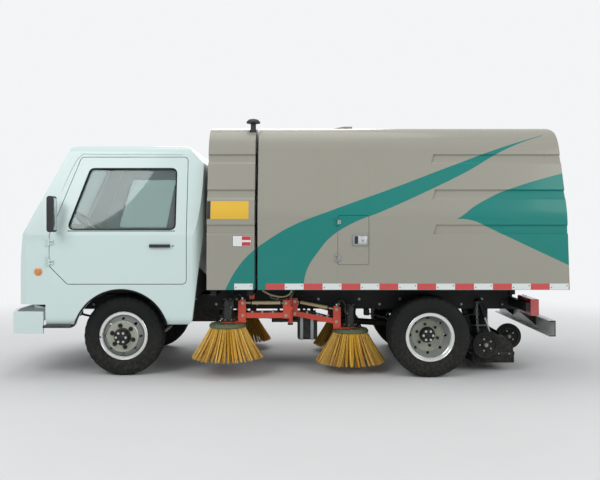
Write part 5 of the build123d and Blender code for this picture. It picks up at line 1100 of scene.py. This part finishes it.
NOZZLE_Y, SKIRT_T, CLAMP_T = 0.6405, 0.008, 0.004
nozzle = Piece("nozzle_trim", "chassis", "chassis_black", RUBBER, GALVANISED, CHASSIS, STEEL)
for x, way in ((-1.7515, 1), (-2.1315, -1)):
    skirt, clamp = x + way * SKIRT_T, x + way * (SKIRT_T + CLAMP_T)
    nozzle.block((x, -0.64, 0.085), (skirt, 0.64, 0.19), 0, 0.002)
    nozzle.block((skirt, -0.64, 0.158), (clamp, 0.64, 0.184), 2, 0.001)
    for i in range(9):
        nozzle.bolt((clamp, -0.6 + 0.15 * i, 0.171), (way, 0, 0), 0.01, 1)
for side in (1, -1):
    out = (0, side, 0)
    skirt, clamp = side * (NOZZLE_Y + SKIRT_T), side * (NOZZLE_Y + SKIRT_T + CLAMP_T)
    nozzle.block((-2.125, side * NOZZLE_Y, 0.085), (-1.76, skirt, 0.19), 0, 0.002)
    nozzle.block((-2.125, skirt, 0.158), (-1.76, clamp, 0.184), 2, 0.001)
    for i in range(4):
        nozzle.bolt((-2.09 + 0.1 * i, clamp, 0.171), out, 0.01, 1)
    nozzle.bolt((-1.854, side * 0.73, 0.263), out, 0.022, 1, 0.004)
    nozzle.bolt((-2.269, side * 0.0385, 0.234), out, 0.02, 1, 0.003)
    nozzle.chain(mirrored(side, (-1.8, 0.6, 0.64), (-1.796, 0.606, 0.56), (-1.8, 0.61, 0.46),
                          (-1.815, 0.6, 0.335)), 0.01, 1)
    y = side * 0.45
    nozzle.bar((-1.96, y, 0.335), (-1.905, y, 0.5), 0.012, 3, 16)
    nozzle.bar((-1.91, y, 0.485), (-1.86, y, 0.64), 0.024, 2, 20)
    nozzle.block((-1.985, y - 0.022, 0.326), (-1.935, y + 0.022, 0.35), 2, 0.003)
    nozzle.block((-1.89, y - 0.08, 0.63), (-1.835, y + 0.03, 0.655), 2, 0.003)
    for x in (-1.86, -2.04):
        nozzle.block((x - 0.004, side * 0.1, 0.329), (x + 0.004, side * 0.5, 0.35), 2, 0.001)
ribs = []
for i in range(22):
    z = 0.372 + i * 0.0185
    ribs += [(0.101, z), (0.101, z + 0.006), (0.1075, z + 0.009), (0.1075, z + 0.0125), (0.101, z + 0.0155)]
nozzle.turned((-1.95, 0, 0), UP, ribs, 0, 36)
for z in (0.352, 0.785):
    nozzle.collar((-1.95, 0, z), UP, 0.1005, 0.1095, 0.012, 1, 36, 0.0)
nozzle.done()
for mark, short, x, y, z in (("left", "l", -1.854, 0.7, 0.263), ("right", "r", -1.854, -0.7, 0.263),
                             ("rear", "rear", -2.269, 0.0, 0.234)):
    hub = Piece("caster_hub_" + mark, "nozzle_caster_" + short, "wheel_rubber", HUB, PLATED)
    for end in (1, -1):
        out = (0, end, 0)
        hub.turned((x, y + end * 0.025, z), out,
                   [(0.013, -0.002), (0.033, -0.002), (0.033, 0.002), (0.026, 0.005), (0.013, 0.005)], 0, 28)
        hub.turned((x, y + end * 0.015, z), out,
                   [(0.07, -0.002), (0.076, 0.003), (0.082, 0.003), (0.0845, -0.002)], 0, 36)
        for a in around(5):
            hub.bolt((x + 0.056 * cos(a), y + end * 0.015, z + 0.056 * sin(a)), out, 0.01, 1, 0.002)
    hub.done()

# Underbody: spring bolts and dampers, tank straps and cap, silencer clamps, frame bolts

SPRING_Y, SILENCER_Y, SILENCER_Z = 0.405, -0.5, 0.372
under = Piece("under_trim", "chassis", "chassis_black", CHASSIS, GALVANISED, SILENCER, BLACK)
for axle_x, top, low in ((FRONT_X, 0.452, 0.375), (REAR_X, 0.462, 0.385)):
    for side in (1, -1):
        y = side * SPRING_Y
        for x in (axle_x - 0.045, axle_x + 0.045):
            for off in (-0.0415, 0.0415):
                under.bar((x, y + off, low - 0.02), (x, y + off, top + 0.012), 0.007, 1, 10)
            under.bar((x, y - side * 0.0455, top + 0.01), (x, y + side * 0.0455, top + 0.01), 0.007, 1, 10)
        under.block((axle_x - 0.06, y - 0.05, low - 0.012), (axle_x + 0.06, y + 0.05, low), 0, 0.003)
        x = axle_x - 0.13
        under.bar((x, side * 0.335, 0.4), (x - 0.03, side * 0.35, 0.545), 0.02, 0, 18)
        under.bar((x - 0.026, side * 0.348, 0.52), (x - 0.05, side * 0.36, 0.66), 0.026, 3, 18)
strap = [(0.4, 0.288), (0.567, 0.288), (0.567, 0.502), (0.4, 0.502)]
for x in (-0.235, -0.135):
    for a, b in zip(strap, strap[1:] + strap[:1]):
        (y0, y1), (z0, z1) = (sorted(pair) for pair in zip(a, b))
        under.block((x - 0.014, y0 - 0.0015, z0 - 0.0015), (x + 0.014, y1 + 0.0015, z1 + 0.0015), 1, 0.001)
under.turned((-0.19, 0.52, 0.5), UP, [(0.03, 0.0), (0.03, 0.014), (0.038, 0.016), (0.038, 0.034),
                                      (0.03, 0.038), (0.001, 0.039)], 3, 24)
for x in (-0.287, -0.18, 0.08, 0.178):
    under.collar((x - 0.006, SILENCER_Y, SILENCER_Z), (1, 0, 0), 0.0645, 0.068, 0.012, 2, 36)
for x in (0.215, 0.56, 0.9):
    under.collar((x - 0.012, SILENCER_Y, SILENCER_Z), (1, 0, 0), 0.0238, 0.028, 0.024, 1, 24, 0.001)
for side in (1, -1):
    for i in range(22):
        under.bolt((-2.1 + i * 0.2, side * 0.375, 0.605 + 0.05 * (i % 2)), (0, side, 0), 0.016, 1, 0.002)
    under.tube(mirrored(side, (-2.05, 0.3055, 0.69), (-1.0, 0.3065, 0.69), (0.2, 0.3065, 0.69),
                        (1.9, 0.3055, 0.69)), 0.008, 3, 8, 3)
under.done()

# Trim of the cab

CAB_WINDOWS = {
    "side": [(1.01, 1.34), (1.99, 1.34), (1.8, 1.9), (1.01, 1.9)],
    "screen": [(-0.73, 1.375), (0.73, 1.375), (0.64, 1.985), (-0.64, 1.985)],
    "rear": [(-0.56, 1.48), (0.5, 1.48), (0.5, 1.86), (-0.56, 1.86)],
}


def rounded(points, r, steps=5):
    """A closed outline of flat points with its corners rounded."""
    line = []
    spots = [Vector(p) for p in points]
    for a, b, c in zip(spots[-1:] + spots[:-1], spots, spots[1:] + spots[:1]):
        into, away = (a - b).normalized(), (c - b).normalized()
        reach = r / max(0.2, (1 - into.dot(away)) ** 0.5 / (1 + into.dot(away) + 0.001) ** 0.5)
        p, q = b + into * reach, b + away * reach
        for i in range(steps + 1):
            t = i / steps
            line.append(p * (1 - t) ** 2 + b * 2 * t * (1 - t) + q * t * t)
    return line


def cab_front(z):
    """How far forward the cab's front is at height z."""
    if z < 0.9:
        return 2.44
    if z < 1.29:
        return 2.44 - 0.045 * (z - 0.9) / 0.39
    return 2.395 - 0.503 * (z - 1.29)


def on_front(y, z, out):
    """A point in front of the cab's front face."""
    return Vector((cab_front(z) + out, y, z))


ARCH_R, RAIL_Z = 0.433, 2.035
cab_trim = Piece("cab_trim", "cab", "cab_paint", BLACK, RUBBER, GALVANISED, LAMP_AMBER, CAB, STEEL)
cab_trim.loop([on_front(y, z, -0.01) for y, z in rounded(CAB_WINDOWS["screen"], 0.06)], 0.011, 1, 10)
cab_trim.loop([(0.7655, y, z) for y, z in rounded(CAB_WINDOWS["rear"], 0.06)], 0.01, 1, 10)
for side in (1, -1):
    # Wheel-arch lip, drip rail, side marker and step
    turns = [radians(15.5 + 149 * i / 24) for i in range(25)]
    cab_trim.tube([(FRONT_X + ARCH_R * cos(a), side * 0.9235, WHEEL_Z + ARCH_R * sin(a)) for a in turns],
                  0.0075, 1, 10, 2)
    rail = ([(x, RAIL_Z, 0.001) for x in (0.96, 1.2, 1.5, 1.8, 1.885)]
            + [(1.96, 1.93, 0.001), (2.06, 1.68, -0.004)])
    cab_trim.tube([(x, side * (cab_side(z) + out), z) for x, z, out in rail], 0.0065, 4, 8, 3)
    cab_trim.turned((2.245, side * 0.922, 0.96), (0, side, 0),
                    [(0.034, 0.0), (0.034, 0.01), (0.024, 0.016), (0.0005, 0.018)], 3, 24)
    cab_trim.block((1.95, side * 0.8, 0.452), (2.205, side * 0.93, 0.474), 0, 0.004)
    for i in range(9):
        x = 1.965 + 0.027 * i
        cab_trim.block((x, side * 0.806, 0.4735), (x + 0.009, side * 0.924, 0.4775), 2)
    # Wipers
    y = side * 0.27 - 0.27
    foot = on_front(y, 1.335, 0.006)
    cab_trim.turned(foot, (1, 0, 0.5),
                    [(0.018, -0.01), (0.018, 0.014), (0.012, 0.02), (0.0005, 0.021)], 0, 20)
    cab_trim.bar(foot + Vector((0.012, 0, 0.006)), on_front(y + 0.33, 1.446, 0.02), 0.0065, 0, 10, 0.004)
    low, high = on_front(y + 0.08, 1.392, 0.01), on_front(y + 0.58, 1.5, 0.01)
    cab_trim.bar(low, high, 0.006, 1, 6)
    over = Vector((0.008, 0, 0.004))
    cab_trim.bar(low.lerp(high, 0.2) + over, low.lerp(high, 0.8) + over, 0.004, 0, 6)
# Front grille: a dark panel with slats and a bright edge, and a lower panel
panel = rounded([(-0.56, 0.9), (0.56, 0.9), (0.5, 1.16), (-0.5, 1.16)], 0.04)
cab_trim.prism([on_front(y, z, 0.002) for y, z in panel], (-0.006, 0, 0), 0)
cab_trim.loop([on_front(y, z, 0.003) for y, z in panel], 0.006, 5, 8)
for i in range(6):
    z = 0.935 + 0.038 * i
    half = 0.52 - 0.06 * (z - 0.9) / 0.26
    x = cab_front(z)
    slat = ((-0.002, -0.01), (0.013, -0.004), (0.013, 0.004), (-0.002, 0.01))
    cab_trim.loft([[(x + dx, y, z + dz) for dx, dz in slat] for y in (-half, -0.17, 0.17, half)], 4)
panel = rounded([(-0.62, 0.7), (0.62, 0.7), (0.6, 0.83), (-0.6, 0.83)], 0.03)
cab_trim.prism([(2.442, y, z) for y, z in panel], (-0.006, 0, 0), 0)
for i in range(4):
    cab_trim.block((2.438, -0.585, 0.722 + 0.027 * i), (2.45, 0.585, 0.731 + 0.027 * i), 0, 0.002)
cab_trim.done()

# Headlamps and indicators in the front bumper
LAMP_X, LAMP_FOOT = 2.504, 0.459
bumper = Piece("front_lamps", "chassis", "bumper_paint", LAMP_CLEAR, LAMP_AMBER, BLACK, GALVANISED)
for side in (1, -1):
    for finish, plan in ((0, [(LAMP_X, 0.563), (2.526, 0.563), (2.5265, 0.7), (2.517, 0.742),
                              (LAMP_X, 0.742)]),
                         (1, [(LAMP_X, 0.746), (2.515, 0.746), (2.5075, 0.785), (LAMP_X, 0.785)])):
        bumper.prism([(x, side * y, LAMP_FOOT) for x, y in plan], (0, 0, 0.092), finish)
    for y in (0.6, 0.67):
        bumper.ring((2.5265, side * y, 0.505), (1, 0, 0), 0.03, 0.003, 3, 28, 6)
    edge = rounded([(0.56, 0.456), (0.79, 0.456), (0.79, 0.554), (0.56, 0.554)], 0.008, 2)
    bumper.loop([(2.5275 - max(0.0, y - 0.7) * 0.2667, side * y, z) for y, z in edge], 0.0035, 2, 6)
    bumper.bolt((2.531, side * 0.3, 0.43), (1, 0, 0), 0.012, 3)
    for y in (0.34, 0.42):
        bumper.block((2.5285, side * y - 0.022, 0.475), (2.5315, side * y + 0.022, 0.525), 2, 0.002)
bumper.done()

for side, mark in SIDES:
    door = Piece("door_trim_" + mark, "cab_door_" + mark[0], "cab_paint", RUBBER, MIRROR, BLACK, GALVANISED)
    out = (0, side, 0)
    door.loop([(x, side * (cab_side(z) - 0.008), z) for x, z in rounded(CAB_WINDOWS["side"], 0.05)],
              0.01, 0, 10)
    door.block((2.0515, side * 0.994, 1.338), (2.0555, side * 1.076, 1.622), 1, 0.003)
    door.block((1.058, side * 0.9265, 1.182), (1.232, side * 0.944, 1.187), 2, 0.001)
    door.turned((1.03, side * 0.922, 1.194), out,
                [(0.011, 0.0), (0.011, 0.006), (0.008, 0.007), (0.0005, 0.007)], 3, 18)
    sill = cab_side(1.33)
    door.block((1.01, side * (sill + 0.001), 1.322), (1.985, side * (sill - 0.01), 1.333), 0, 0.003)
    for z in (1.05, 1.23):
        for x in (2.117, 2.133):
            door.bolt((x, side * 0.9385, z), out, 0.009, 3)
    door.done()


# Camera, lamps and floor

PALE = (0.9, 0.91, 0.92, 1.0)


def lamp(name, place, aim, size, power):
    """A large soft lamp aimed at a point."""
    data = bpy.data.lights.new(name, "AREA")
    data.shape, data.size, data.energy = "DISK", size, power
    item = bpy.data.objects.new(name, data)
    item.location = place
    item.rotation_euler = (Vector(aim) - Vector(place)).to_track_quat("-Z", "Y").to_euler()
    bpy.context.scene.collection.objects.link(item)


lamp("lamp_front_left", (4.5, 6.5, 5.5), (0.3, 0, 1.0), 4.5, 225)
lamp("lamp_rear_left", (-6.0, 5.5, 4.0), (-0.5, 0, 1.1), 4.5, 172)
lamp("lamp_right", (0.5, -7.0, 5.5), (0, 0, 1.0), 5.0, 207)
lamp("lamp_above", (0.0, 0.0, 7.5), (0, 0, 1.0), 5.0, 120)

camera = bpy.data.cameras.new("camera")
camera.lens = 43.0
camera.sensor_width = 36.0
camera.shift_y = -0.03
eye = bpy.data.objects.new("camera", camera)
eye.location = (-0.12, 7.4, 1.41)
eye.rotation_euler = (radians(90), 0, radians(180))
bpy.context.scene.collection.objects.link(eye)
bpy.context.scene.camera = eye
bpy.context.scene.view_settings.view_transform = "Standard"

world = bpy.data.worlds.new("studio")
bpy.context.scene.world = world
world.use_nodes = True
sky = Nodes(world.node_tree)
choose = [sky.plain_rays()]
for tint, strength in (((0.95, 0.96, 0.97, 1.0), 0.6), (PALE, 1.0)):
    light = sky.node("ShaderNodeBackground")
    sky.fill(light.inputs, (tint, strength))
    choose.append(light.outputs[0])
either = sky.node("ShaderNodeMixShader")
sky.fill(either.inputs, choose)
sky.feed(sky.node("ShaderNodeOutputWorld").inputs["Surface"], either.outputs[0])

# Floor, plain near the truck and as pale as the backdrop far from it
ground = bmesh.new()
bmesh.ops.create_circle(ground, cap_ends=True, segments=64, radius=30.0)
ground_data = bpy.data.meshes.new("floor")
ground.to_mesh(ground_data)
ground.free()
look = Finish("floor_look")
look.set("Base Color", look.mix(look.noise(1.2), colour("d9dadb"), colour("d4d5d5")))
look.set("Roughness", 0.85)
far = look.node("ShaderNodeVectorMath", operation="LENGTH")
look.feed(far.inputs[0], look.place)
glow = look.node("ShaderNodeEmission")
glow.inputs["Color"].default_value = PALE
fade = look.node("ShaderNodeMixShader")
share = look.calc("MULTIPLY", look.plain_rays(), look.ease(far.outputs["Value"], 3.2, 7.5))
look.fill(fade.inputs, (share, look.shader.outputs[0], glow.outputs[0]))
look.feed(look.end, fade.outputs[0])
ground_data.materials.append(look.material)
ground_item = bpy.data.objects.new("floor", ground_data)
bpy.context.scene.collection.objects.link(ground_item)
